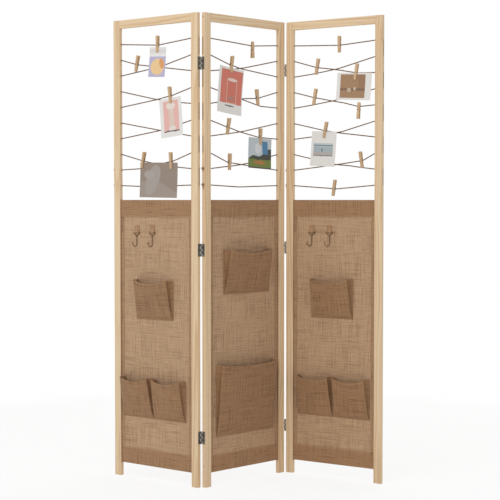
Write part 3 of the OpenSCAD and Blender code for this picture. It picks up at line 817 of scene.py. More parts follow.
# A lighter copy of the twine for the knots: painted light, as the knots on the left upright's outer face lie
# in shade.
LIT_KNOT_JUTE = Jute("loosened_jute", srgb(202, 160, 116), srgb(136, 102, 71))
THREAD = Mottled("sewing_thread", srgb(158, 126, 92), srgb(120, 90, 62), scale=900.0, detail=2.0,
                 roughness=0.8, depth=0.0002, strength=0.5)
PRINT_BACK = Mottled("print_back", srgb(242, 240, 235), srgb(232, 229, 222), scale=1400.0, detail=3.0,
                     roughness=0.6, depth=0.00002, strength=0.3)
PEG_WOOD = Wood("peg_beech", Along.PIECE, early=srgb(214, 182, 143), late=srgb(168, 132, 94), ring=0.0016,
                waver=0.0011)
HINGE_METAL = Metal("hinge_metal", srgb(150, 146, 138), srgb(118, 114, 107), 0.42)
PIN_METAL = Metal("pin_metal", srgb(198, 195, 190), srgb(160, 157, 151), 0.36)
SCREW_METAL = Metal("screw_metal", srgb(228, 220, 205), srgb(196, 187, 171), 0.5)
SPRING_METAL = Metal("spring_metal", srgb(172, 166, 156), srgb(112, 100, 86), 0.36)
HOOK_METAL = Metal("hook_metal", srgb(134, 110, 82), srgb(84, 66, 48), 0.4)


# ---- Where things are ----


@dataclass(frozen=True)
class Sizes:
    """The divider's sizes in millimetres, as in the CAD source."""

    height: float = 1700.0
    panel: float = 400.0
    depth: float = 16.0
    stile: float = 30.0
    top_rail: float = 30.0
    window: float = 634.0
    first_row_gap: float = 58.0
    last_row_gap: float = 52.2
    rows: int = 10
    left_fold: float = 100.5
    right_fold: float = 105.0
    centre_heading: float = 53.0
    fold_gap: float = 6.4
    axis_proud: float = 0.5
    cloth: float = 1.0
    cloth_low: float = 48.0
    hem: float = 60.0
    twine: float = 1.5
    twine_gap: float = 0.3
    crossing_gap: float = 0.6
    card: float = 0.4

    @property
    def clear(self) -> float:
        """Width between the uprights."""
        return self.panel - 2 * self.stile

    @property
    def sheet_y(self) -> float:
        """The middle plane of the cloth and the prints."""
        return self.depth / 2

    @property
    def face_y(self) -> float:
        """The front face of the cloth."""
        return self.sheet_y - self.cloth / 2

    @property
    def twine_y(self) -> float:
        """The plane of the twine in front of the crossings."""
        return self.sheet_y + self.card / 2 + self.twine_gap + self.twine

    @property
    def cloth_high(self) -> float:
        """Height of the cloth's upper edge."""
        return self.height - self.top_rail - self.window

    def row(self, number: float) -> float:
        """Height of a row of twine, counted from 1 at the top; a number between two lies between them."""
        pitch = (self.window - self.first_row_gap - self.last_row_gap) / (self.rows - 1)
        return self.height - self.top_rail - self.first_row_gap - (number - 1) * pitch


SIZES = Sizes()


class Side(Enum):
    """The three panels from left to right."""

    LEFT = 0
    CENTRE = 1
    RIGHT = 2

    @property
    def word(self) -> str:
        """The panel's word in node and body names."""
        return self.name.lower()

    @property
    def body(self) -> str:
        """The body that the panel rides on."""
        return f"{self.word}_panel"


@dataclass(frozen=True)
class Panel:
    """Where one panel stands: millimetres along, through and up the panel become metres in the frame."""

    side: Side

    @staticmethod
    def _headings() -> tuple[float, float, float]:
        """The headings of the three panels in degrees."""
        centre = SIZES.centre_heading
        return centre + SIZES.left_fold - 180, centre, centre + SIZES.right_fold - 180

    @property
    def heading(self) -> float:
        """Degrees from the frame's X to the panel's width."""
        return self._headings()[self.side.value]

    @classmethod
    def _corners(cls) -> list[np.ndarray]:
        """Works out how the panels stand, joined at the hinges' pins.

        Returns:
            Their front left corners in millimetres, with the middle of the whole at zero.
        """
        turns = [math.radians(h) for h in cls._headings()]
        ahead = [np.array((math.cos(t), math.sin(t))) for t in turns]
        back = [np.array((-math.sin(t), math.cos(t))) for t in turns]
        half, proud = SIZES.fold_gap / 2, SIZES.axis_proud
        left = -(half + SIZES.panel) * ahead[0] - (SIZES.depth + proud) * back[0]
        centre = half * ahead[1] - (SIZES.depth + proud) * back[1]
        axis = centre + (SIZES.panel + half) * ahead[1] - proud * back[1]
        right = axis + half * ahead[2] + proud * back[2]
        corners = [left, centre, right]
        every = np.array([c + x * a + y * b for c, a, b in zip(corners, ahead, back)
                          for x in (0, SIZES.panel) for y in (0, SIZES.depth)])
        return [c - (every.min(0) + every.max(0)) / 2 for c in corners]

    @cached_property
    def matrix(self) -> Matrix:
        """From the panel's millimetres to the frame's metres."""
        x, y = self._corners()[self.side.value]
        return (Matrix.Translation((x * MM, y * MM, 0)) @ Matrix.Rotation(math.radians(self.heading), 4, "Z")
                @ Matrix.Scale(MM, 4))

    def at(self, place: Sequence[float]) -> Vector:
        """Gives a panel place in the frame."""
        return self.matrix @ Vector(place)

    @property
    def forward(self) -> Vector:
        """The direction that the panel's front faces."""
        return -(self.matrix.to_3x3() @ Vector((0, 1, 0))).normalized()


PANELS = {side: Panel(side) for side in Side}


# ---- Shapes ----


# The largest share of a straight stretch that the rounding of a corner takes.
CORNER_SHARE = 0.45


def rounded(route: Sequence[Sequence[float]], radius: float, steps: int = 4) -> np.ndarray:
    """Rounds the corners of a route.

    Args:
        route: its corner points.
        radius: how far from each corner the rounding starts, at most.
        steps: points on each rounding beyond its first.

    Returns:
        The points of the rounded route.
    """
    points = np.array(route, float)
    made = [points[0]]
    for before, corner, after in zip(points, points[1:], points[2:]):
        into, out = before - corner, after - corner
        reach = min(radius, CORNER_SHARE * np.linalg.norm(into), CORNER_SHARE * np.linalg.norm(out))
        start, end = corner + into / np.linalg.norm(into) * reach, corner + out / np.linalg.norm(out) * reach
        for share in np.linspace(0, 1, steps + 1):
            made.append((1 - share) ** 2 * start + 2 * share * (1 - share) * corner + share**2 * end)
    made.append(points[-1])
    return np.array(made)


def gone_along(route: np.ndarray) -> np.ndarray:
    """Gives how far along a route each of its points lies."""
    return np.concatenate(([0], np.linalg.norm(np.diff(route, axis=0), axis=1).cumsum()))


def spaced(route: np.ndarray, step: float) -> np.ndarray:
    """Spaces points evenly along a route.

    Args:
        route: its points.
        step: about how far apart the new points are to lie.

    Returns:
        The new points.
    """
    gone = gone_along(route)
    count = max(2, round(gone[-1] / step) + 1)
    wanted = np.linspace(0, gone[-1], count)
    return np.stack([np.interp(wanted, gone, route[:, i]) for i in range(route.shape[1])], axis=1)


def length_of(route: np.ndarray) -> float:
    """Gives a route's length."""
    return float(gone_along(route)[-1])


def mark(mesh: bpy.types.Mesh, name: str, values: Sequence[float] | np.ndarray) -> None:
    """Stores a vector at each point of a mesh under a name."""
    mesh.attributes.new(name, "FLOAT_VECTOR", "POINT").data.foreach_set("vector", np.ravel(values))


def line_mesh(name: str, routes: Iterable[np.ndarray], matrix: Matrix,
              facing: Iterable[np.ndarray] | None = None) -> bpy.types.Mesh:
    """Makes a mesh of edges from routes.

    Args:
        name: the mesh's name.
        routes: the points of each route, in the panel's millimetres.
        matrix: from those to the frame.
        facing: the direction that the cloth faces at each point of each route.

    Returns:
        The mesh.
    """
    mesh = bpy.data.meshes.new(name)
    points, edges = [], []
    for route in routes:
        first = len(points)
        points += [matrix @ Vector(p) for p in route]
        edges += [(i, i + 1) for i in range(first, len(points) - 1)]
    mesh.from_pydata(points, edges, [])
    if facing is not None:
        turn = np.array(matrix.to_3x3().normalized())
        mark(mesh, "facing", np.concatenate([np.asarray(f, float) for f in facing]) @ turn.T)
    return mesh


def sharpened(mesh: bpy.types.Mesh, degrees: float) -> bpy.types.Mesh:
    """Shades a mesh smooth except over edges sharper than an angle."""
    mesh.polygons.foreach_set("use_smooth", [True] * len(mesh.polygons))
    mesh.set_sharp_from_angle(angle=math.radians(degrees))
    mesh.update()
    return mesh


class Cutter:
    """Gathers closed shells of cloth or paper into one mesh that keeps each point's place on the flat cut."""

    def __init__(self) -> None:
        """Starts with nothing cut."""
        self.points: list[np.ndarray] = []
        self.flats: list[np.ndarray] = []
        self.faces: list[tuple[int, ...]] = []
        self.backs: list[int] = []
        self.area = 0.0

    def sheet(self, grid: np.ndarray, flat: np.ndarray, thickness: float) -> None:
        """Adds one sheet.

        Args:
            grid: points of its middle surface, rows by columns by 3, in millimetres.
            flat: each point's place on the flat cut, in metres, and its layers, in the same shape.
            thickness: in millimetres.
        """
        rows, columns = grid.shape[:2]
        normal = np.cross(np.gradient(grid, axis=0), np.gradient(grid, axis=1))
        normal /= np.maximum(np.linalg.norm(normal, axis=2, keepdims=True), TINY)
        first = sum(len(p) for p in self.points)
        count = rows * columns
        for side in (0.5, -0.5):
            self.points.append((grid + normal * thickness * side).reshape(-1, 3))
            self.flats.append(flat.reshape(-1, 3))

        def at(i: int, j: int) -> int:
            """Gives the index of a point of the front."""
            return first + i * columns + j

        for i in range(rows - 1):
            for j in range(columns - 1):
                quad = (at(i, j), at(i + 1, j), at(i + 1, j + 1), at(i, j + 1))
                self._face(quad, 0)
                self._face(tuple(count + p for p in reversed(quad)), 1)
        border = ([at(i, 0) for i in range(rows)] + [at(rows - 1, j) for j in range(1, columns)]
                  + [at(i, columns - 1) for i in range(rows - 2, -1, -1)]
                  + [at(0, j) for j in range(columns - 2, 0, -1)])
        for a, b in zip(border, border[1:] + border[:1]):
            self._face((b, a, a + count, b + count), 1)
        across, down = grid[1:, :-1] - grid[:-1, :-1], grid[:-1, 1:] - grid[:-1, :-1]
        self.area += float(np.linalg.norm(np.cross(across, down), axis=2).sum()) * MM * MM

    def _face(self, corners: tuple[int, ...], back: int) -> None:
        """Keeps one face and whether it lies at the back or the rim."""
        self.faces.append(corners)
        self.backs.append(back)

    def mesh(self, name: str, matrix: Matrix, finishes: Sequence[Finish],
             sharp: float = 55) -> bpy.types.Mesh:
        """Makes the mesh.

        Args:
            name: the mesh's name.
            matrix: from the shells' millimetres to the frame.
            finishes: one finish, or one for the fronts and one for the backs.
            sharp: the angle past which an edge is sharp.

        Returns:
            The mesh in the frame's metres.
        """
        mesh = bpy.data.meshes.new(name)
        points, flats = np.concatenate(self.points), np.concatenate(self.flats)
        mesh.from_pydata([tuple(p) for p in points], [], self.faces)
        mark(mesh, "cloth", flats)
        for finish in finishes:
            mesh.materials.append(finish.material())
        if len(finishes) > 1:
            mesh.polygons.foreach_set("material_index", self.backs)
        mesh.transform(matrix)
        return sharpened(mesh, sharp)


@dataclass
class Maker:
    """Makes pieces of one panel, adds them to the scene and makes them ride."""

    panel: Panel

    @property
    def word(self) -> str:
        """The panel's word in names."""
        return self.panel.side.word

    def add(self, name: str, mesh: bpy.types.Mesh, slot: str, replaces: Sequence[str] = (),
            rides: str | None = None) -> bpy.types.Object:
        """Adds one piece.

        Args:
            name: the piece's name.
            mesh: its mesh in the frame's metres.
            slot: the record's material slot; not used.
            replaces: the CAD nodes that it stands for.
            rides: its body, the panel's if none is given; when empty, the piece rides no body.

        Returns:
            The object.
        """
        piece = placed(name, mesh)
        body = self.panel.side.body if rides is None else rides
        if body:
            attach(piece, body)
        if replaces:
            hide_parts(*replaces)
        log.info("%s: %d faces", name, len(mesh.polygons))
        return piece


# ---- Pegs and prints: where they hang ----


# Half of the twine's straight stretch in a peg's jaws.
GRIP = 6.0


@dataclass(frozen=True)
class PegPlace:
    """Where a peg bites the twine: a share of the window's width, a row, and how it hangs."""

    share: float
    row: float
    lean: float = 0.0
    jaws_up: bool = False
    bite: float = 27.0

    @property
    def middle(self) -> Place:
        """The place on the twine, in the panel's millimetres."""
        return (SIZES.stile + self.share * SIZES.clear, SIZES.sheet_y, SIZES.row(self.row))

    def matrix(self, panel: Panel, jaw: float) -> Matrix:
        """From the peg's own millimetres, about its pivot, to the frame."""
        turn = math.radians((180 if self.jaws_up else 0) - self.lean)
        return (panel.matrix @ Matrix.Translation(self.middle) @ Matrix.Rotation(turn, 4, "Y")
                @ Matrix.Translation((0, 0, jaw - self.bite)))

    def grip(self) -> list[Place]:
        """The ends of the twine's straight stretch through the jaws."""
        x, _, z = self.middle
        a = math.radians(self.lean)
        return [(x + s * GRIP * math.cos(a), SIZES.twine_y, z + s * GRIP * math.sin(a)) for s in (-1, 1)]


PEGS: dict[Side, list[PegPlace]] = {
    Side.LEFT: [PegPlace(0.5265, 1.241), PegPlace(0.2324, 2.357, -12), PegPlace(0.7, 4.454, 6),
                PegPlace(0.3176, 8.457, -12), PegPlace(0.7088, 8.526, 3)],
    Side.CENTRE: [PegPlace(0.6206, 1.189, 0, True, 16), PegPlace(0.3147, 2.529, -7),
                  PegPlace(0.6941, 4.471, 7), PegPlace(0.2647, 6.395, -10),
                  PegPlace(0.7382, 6.945, -2), PegPlace(0.2853, 8.595, -3)],
    Side.RIGHT: [PegPlace(0.5618, 1.155), PegPlace(0.2882, 2.478, -10), PegPlace(0.7647, 2.942, -9),
                 PegPlace(0.2588, 4.385, -10), PegPlace(0.8, 5.055, -3, True, 15),
                 PegPlace(0.3912, 6.515, -11), PegPlace(0.8324, 8.457, 8), PegPlace(0.5, 10.21, -8)],
}


@dataclass(frozen=True)
class PrintPlace:
    """A print on a peg: how far its middle lies from the peg's bite, its size, lean and design."""

    peg: int
    right: float
    below: float
    width: float
    height: float
    lean: float
    picture: Picture
    curl: float = 3.0


PRINTS: dict[Side, list[PrintPlace]] = {
    Side.LEFT: [PrintPlace(0, 0, 62, 78, 108, -3, Picture.LEAF, 2.5),
                PrintPlace(2, 6, 78, 102, 141, 6, Picture.COLUMN, 3.5),
                PrintPlace(3, 75, 71, 178, 128, -1, Picture.DUNE, 2.0)],
    Side.CENTRE: [PrintPlace(1, -8, 93, 119, 168, -7, Picture.JAR, 4.0),
                  PrintPlace(4, -4, 59, 117, 113, -3, Picture.MEADOW, 2.5)],
    Side.RIGHT: [PrintPlace(2, -8, 50, 141, 100, -3, Picture.STILL, 2.5),
                 PrintPlace(5, -7, 67, 104, 130, -3, Picture.SHORE, 3.0)],
}


# ---- Twine ----


@dataclass(frozen=True)
class Via:
    """A place that a run of twine passes: a share of the window's width, a row, in front or behind."""

    share: float
    row: float
    behind: bool = False

    @property
    def place(self) -> Place:
        """The place in the panel's millimetres."""
        away = 2 * SIZES.twine + SIZES.crossing_gap if self.behind else 0.0
        return (SIZES.stile + self.share * SIZES.clear, SIZES.twine_y + away, SIZES.row(self.row))


def behind(*places: tuple[float, float]) -> list[Via]:
    """Gives places that the twine passes behind another run."""
    return [Via(share, row, True) for share, row in places]


# A run's row at the left, its row at the right, and what it passes: places, or the panel's pegs from 0.
Run = tuple[int, int, list["Via | int"]]

RUNS: dict[Side, list[Run]] = {
    Side.LEFT: [
        (9, 8, [*behind((0.2647, 8.938), (0.3529, 8.921), (0.5147, 8.732), (0.6176, 8.595)), 4]),
        (6, 7, [Via(0.5529, 6.567)]),
        (5, 4, [Via(0.5, 4.643), 2]),
        (2, 3, [1, Via(0.5147, 2.598)]),
        (1, 1, [0]),
        (3, 2, behind((0.4706, 2.649), (0.5735, 2.564))),
        (4, 5, behind((0.4559, 4.574), (0.75, 4.849))),
        (7, 6, behind((0.4853, 6.619), (0.6176, 6.515))),
        (8, 9, [3, Via(0.5147, 8.68), Via(0.5735, 8.732),
                *behind((0.6706, 8.801), (0.7647, 8.869))]),
        (10, 10, [Via(0.3853, 10.089)]),
    ],
    Side.CENTRE: [
        (9, 8, behind((0.2353, 8.852), (0.3529, 8.784), (0.4706, 8.698), (0.5735, 8.595))),
        (6, 7, [3, Via(0.4412, 6.653), 4]),
        (5, 4, [Via(0.4412, 4.574), 2]),
        (2, 3, [1, Via(0.4559, 2.701)]),
        (1, 1, [0]),
        (3, 2, behind((0.2588, 2.821), (0.3824, 2.735), (0.5294, 2.598))),
        (4, 5, behind((0.3824, 4.471), (0.75, 4.952))),
        (7, 6, behind((0.2059, 6.842), (0.3235, 6.756), (0.5, 6.601))),
        (8, 9, [5, Via(0.4706, 8.698)]),
        (10, 10, [Via(0.4324, 10.107)]),
    ],
    Side.RIGHT: [
        (9, 8, [*behind((0.4412, 8.732), (0.6176, 8.612)), 6]),
        (6, 7, [5, Via(0.5471, 6.67)]),
        (5, 4, behind((0.1912, 4.866), (0.4853, 4.625))),
        (2, 3, [1, Via(0.4912, 2.649), 2]),
        (1, 1, [0]),
        (3, 2, behind((0.2206, 2.873), (0.3529, 2.77), (0.5441, 2.615))),
        (4, 5, [3, Via(0.4735, 4.643), Via(0.6176, 4.797), 4]),
        (7, 6, behind((0.3235, 6.825), (0.4412, 6.722), (0.5882, 6.601))),
        (8, 9, [Via(0.5235, 8.68), Via(0.6912, 8.766), *behind((0.7882, 8.852), (0.8824, 8.921))]),
        (10, 10, [7]),
    ],
}


@dataclass(frozen=True)
class Lay:
    """How two strands are laid: their radius, their distance from the middle, one turn's length, a step."""

    strand: float
    off_middle: float
    pitch: float
    step: float

    def given(self, finish: Finish) -> dict[str, Any]:
        """Gives the inputs of the tree that lays them."""
        return {"Strand Radius": self.strand * MM, "Lay Radius": self.off_middle * MM,
                "Pitch": self.pitch * MM, "Step": self.step * MM, "Strands": 2, "Sides": 6,
                "Finish": finish.material()}


@dataclass
class TwineLacing(Maker):
    """One length of two-strand jute laced to and fro across a window and knotted at both ends."""

    groove_depth: float = 3.8
    play: float = 0.2
    hole_edge: float = 1.0
    bend: float = 3.5
    end_rows: tuple[int, int] = (9, 10)
    taut: Lay = Lay(1.45, 0.88, 11.5, 1.3)
    loose: Lay = Lay(0.92, 0.58, 7.0, 0.65)
    knot: float = 2.2
    knot_off: float = 2.3
    knot_bulge: float = 1.05
    tails: tuple[float, float] = (5.0, 11.0)
    tail_leans: tuple[float, float] = (0.12, -0.2)

    def route(self) -> np.ndarray:
        """Leads the twine through every hole and groove.

        Returns:
            The points of its line.
        """
        groove = self.groove_depth / 2
        turn = self.groove_depth - groove - self.play
        y, edge = SIZES.twine_y, SIZES.stile + self.hole_edge
        made: list[Place] = []
        pegs = PEGS[self.panel.side]
        for number, (left, right, places) in enumerate(RUNS[self.panel.side]):
            start: list[Place] = [(edge, y, SIZES.row(left))]
            if left in self.end_rows:
                start.insert(0, (-self.hole_edge, y, SIZES.row(left)))
            else:
                out = -turn if left % 2 else turn
                start[:0] = [(groove, y, SIZES.row(left) + out), (groove + turn, y, SIZES.row(left))]
            middle = [p for place in places
                      for p in (pegs[place].grip() if isinstance(place, int) else [place.place])]
            far = SIZES.panel
            out = -turn if right % 2 else turn
            end = [(far - edge, y, SIZES.row(right)), (far - groove - turn, y, SIZES.row(right)),
                   (far - groove, y, SIZES.row(right) + out)]
            run = start + middle + end
            made += run if number % 2 == 0 else run[::-1]
        return rounded(made, self.bend)

    def knots(self) -> list[np.ndarray]:
        """Ties the two overhand knots on the left upright's outer face.

        Returns:
            The closed line of each knot and the line of the short tail below it.
        """
        made = []
        middle = SIZES.depth / 2 + 0.5
        for row, tail, lean in zip(self.end_rows, self.tails, self.tail_leans):
            t = np.linspace(0, math.tau, 72)
            x = -self.knot_off - self.knot_bulge * np.sin(3 * t)
            y = middle + self.knot * (np.sin(t) + 2 * np.sin(2 * t))
            z = SIZES.row(row) + self.knot * (np.cos(t) - 2 * np.cos(2 * t))
            made.append(np.stack([x, y, z], axis=1))
            down = np.linspace(0, tail, 20)
            x, y = 0.4 * np.sin(down / 4) - 2.2, middle + lean * down + 0.5 * np.sin(down / 3)
            made.append(np.stack([x, y, SIZES.row(row) - 3.5 - down], axis=1))
        return made

    def make(self) -> None:
        word, route = self.word, self.route()
        source = line_mesh(f"{word}_lacing", [route], self.panel.matrix)
        mesh = grow(strand_growth(), source, self.taut.given(JUTE))
        twine = self.add(f"{word}_twine_cord", mesh, "twine", [f"{word}_twine"])
        source = line_mesh(f"{word}_knots", self.knots(), self.panel.matrix)
        # The knots wear the lighter copy of the twine, painted light.
        mesh = grow(strand_growth(), source, self.loose.given(LIT_KNOT_JUTE))
        knots = self.add(f"{word}_twine_knots", mesh, "twine")
        path = [tuple(self.panel.at(p)) for p in route]
        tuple(path[0])
        length_of(route) * MM


# ---- Cloth ----

# The drawn thickness of the burlap in millimetres.
CLOTH_DRAWN = 0.9


# The route of a row of stitches in the panel's millimetres, and -1 at the cloth's front or 1 at its back.
Seam = tuple[np.ndarray, float]


@dataclass
class Sewing(Maker):
    """Rows of stitches on one piece of cloth."""

    pitch: float = 4.6
    length: float = 3.3
    thread: float = 0.75

    def sew(self, name: str, seams: Sequence[Seam], slot: str) -> bpy.types.Object:
        """Sews stitches along seams.

        Args:
            name: the piece's name.
            seams: where the thread runs.
            slot: the record's slot of the cloth.

        Returns:
            The stitches as one piece.
        """
        facing = [np.tile((0.0, way, 0.0), (len(route), 1)) for route, way in seams]
        source = line_mesh(name, [route for route, _ in seams], self.panel.matrix, facing)
        given = {"Pitch": self.pitch * MM, "Length": self.length * MM, "Thread": self.thread * MM,
                 "Finish": THREAD.material()}
        return self.add(name, grow(stitch_growth(), source, given), slot)


@dataclass
class BurlapCloth(Maker):
    """A hemmed sheet of burlap held by slats in its upper and lower hems, with bands down its sides."""

    slat: float = 5.0
    play: float = 1.25
    lap: float = 0.95
    columns: int = 49
    step: float = 6.0
    ruffle: float = 0.45
    ruffle_waves: tuple[float, float] = (55.0, 70.0)
    cut_apart: float = 1.7
    band: float = 15.0
    # The side bands' layer share closes part of the weave's gaps and paints the bands part-way to the darker
    # doubled colour, painted shade along the uprights.
    band_layers: float = 0.6
    band_step: float = 11.0
    band_wave: float = 0.25
    edge: tuple[tuple[float, float], ...] = ((0.6, 1.8), (0.55, 4.5), (0.6, 8.2))
    flap: tuple[tuple[float, float], ...] = ((1.4, 7.05), (3.0, 6.95))
    seam_inset: float = 4.0
    band_seam: float = 3.0

    def profile(self) -> tuple[np.ndarray, np.ndarray]:
        """Gives the cloth's line from the side, from the upper hem's inner edge over to the lower one's.

        Returns:
            Points (through, up) in millimetres, and for each how doubled the cloth is.
        """
        middle, out = SIZES.sheet_y, self.slat / 2 + SIZES.cloth / 2
        high, low, hem = SIZES.cloth_high, SIZES.cloth_low, SIZES.hem
        behind_y, before_y = middle + out, middle - out
        upper = [(middle + self.lap, high - hem - 7), (middle + self.lap, high - hem - 3),
                 (behind_y - 0.3, high - hem + 1.5), (behind_y, high - hem + 5), (behind_y, high - 4.5)]
        turn = [(middle + out * math.cos(a), high - 4.2 + 3.7 * math.sin(a))
                for a in np.linspace(0.15, math.pi - 0.15, 9)]
        front = [(before_y, high - 4.5), (before_y, high - hem + 5), (before_y + 0.3, high - hem + 1.5),
                 (middle - 0.2, high - hem - 3), (middle, high - hem - 8)]
        half = upper + turn + front
        other = [(y, low + high - z) for y, z in half]
        line = spaced(np.array(half + other[::-1]), self.step)
        # The doubled share reaches 4 mm below each hem's edge, so the doubled colour's painted shade also
        # darkens the slope under the hem, where a shadow falls.
        double = np.clip(np.maximum(line[:, 1] - high + hem + 4, low + hem + 4 - line[:, 1]) / 3, 0, 1)
        return line, double

    def grid(self) -> tuple[np.ndarray, np.ndarray, float]:
        """Lays the cloth out.

        Returns:
            Its points, their places on the flat cut, and the cut's length in millimetres.
        """
        line, double = self.profile()
        inset, side = SIZES.stile + self.play, self.panel.side.value
        xs = np.linspace(inset, SIZES.panel - inset, self.columns)
        gone = gone_along(line)
        grid, flat = np.zeros((2, len(xs), len(line), 3))
        wide, tall = self.ruffle_waves
        for i, x in enumerate(xs):
            for j, (y, z) in enumerate(line):
                wave = noise.noise(Vector((x / wide, z / tall, side * 7.0)))
                grid[i, j] = (x, y + wave * self.ruffle * (1 - 0.7 * double[j]), z)
                flat[i, j] = (x * MM, gone[j] * MM + side * self.cut_apart, double[j])
        return grid, flat, float(gone[-1])

    def side_bands(self) -> Cutter:
        """Cuts the doubled bands along the uprights and the edges turned forward on them."""
        cutter = Cutter()
        edge_ends = (SIZES.cloth_low + 0.5, SIZES.cloth_high - 0.5)
        flap_ends = (SIZES.cloth_low + SIZES.hem, SIZES.cloth_high - SIZES.hem)
        flap = (*self.flap, (self.band, self.flap[-1][1]))
        for mirrored in (False, True):
            for route, (bottom, top) in ((self.edge, edge_ends), (flap, flap_ends)):
                line = spaced(rounded([(SIZES.stile + x, y) for x, y in route], 2.0), 3.0)
                zs = np.linspace(bottom, top, int((top - bottom) / self.band_step))
                grid = np.zeros((len(line), len(zs), 3))
                flat = np.full_like(grid, self.band_layers)
                for i, (x, y) in enumerate(line):
                    for j, z in enumerate(zs):
                        wave = self.band_wave * noise.noise(Vector((x / 20, z / 45, 3.0 + mirrored)))
                        across = SIZES.panel - x if mirrored else x
                        grid[i, j] = (across, y + wave, z)
                        flat[i, j, :2] = (across * MM + y * MM, z * MM)
                cutter.sheet(grid if mirrored else grid[::-1], flat if mirrored else flat[::-1], CLOTH_DRAWN)
        return cutter

    def seams(self) -> list[Seam]:
        """Gives the hem and band stitches, front and back."""
        inset, side = SIZES.stile + self.seam_inset, SIZES.stile + self.band - self.band_seam
        seams = []
        for z in (SIZES.cloth_high - SIZES.hem - 5, SIZES.cloth_low + SIZES.hem + 5):
            xs = np.linspace(inset, SIZES.panel - inset, 60)
            for y, way in ((SIZES.sheet_y - 0.75, -1.0), (SIZES.sheet_y + 1.6, 1.0)):
                seams.append((np.array([(x, y, z) for x in xs]), way))
        zs = np.linspace(SIZES.cloth_low + SIZES.hem + 4, SIZES.cloth_high - SIZES.hem - 4, 160)
        for x in (side, SIZES.panel - side):
            for y, way in ((6.4, -1.0), (SIZES.sheet_y + 0.65, 1.0)):
                seams.append((np.array([(x, y, z) for z in zs]), way))
        return seams

    def make(self) -> bpy.types.Object:
        word, matrix = self.word, self.panel.matrix
        grid, flat, cut = self.grid()
        cutter = Cutter()
        cutter.sheet(grid, flat, CLOTH_DRAWN)
        name = f"{word}_burlap_cloth"
        cloth = self.add(name, cutter.mesh(name, matrix, [BURLAP]), "burlap", [f"{word}_burlap"])
        name = f"{word}_burlap_bands"
        bands = self.add(name, self.side_bands().mesh(name, matrix, [BURLAP]), "burlap")
        stitches = Sewing(self.panel).sew(f"{word}_burlap_stitches", self.seams(), "burlap")
        width = (grid[-1, 0, 0] - grid[0, 0, 0]) * MM
        cut * MM
        return cloth


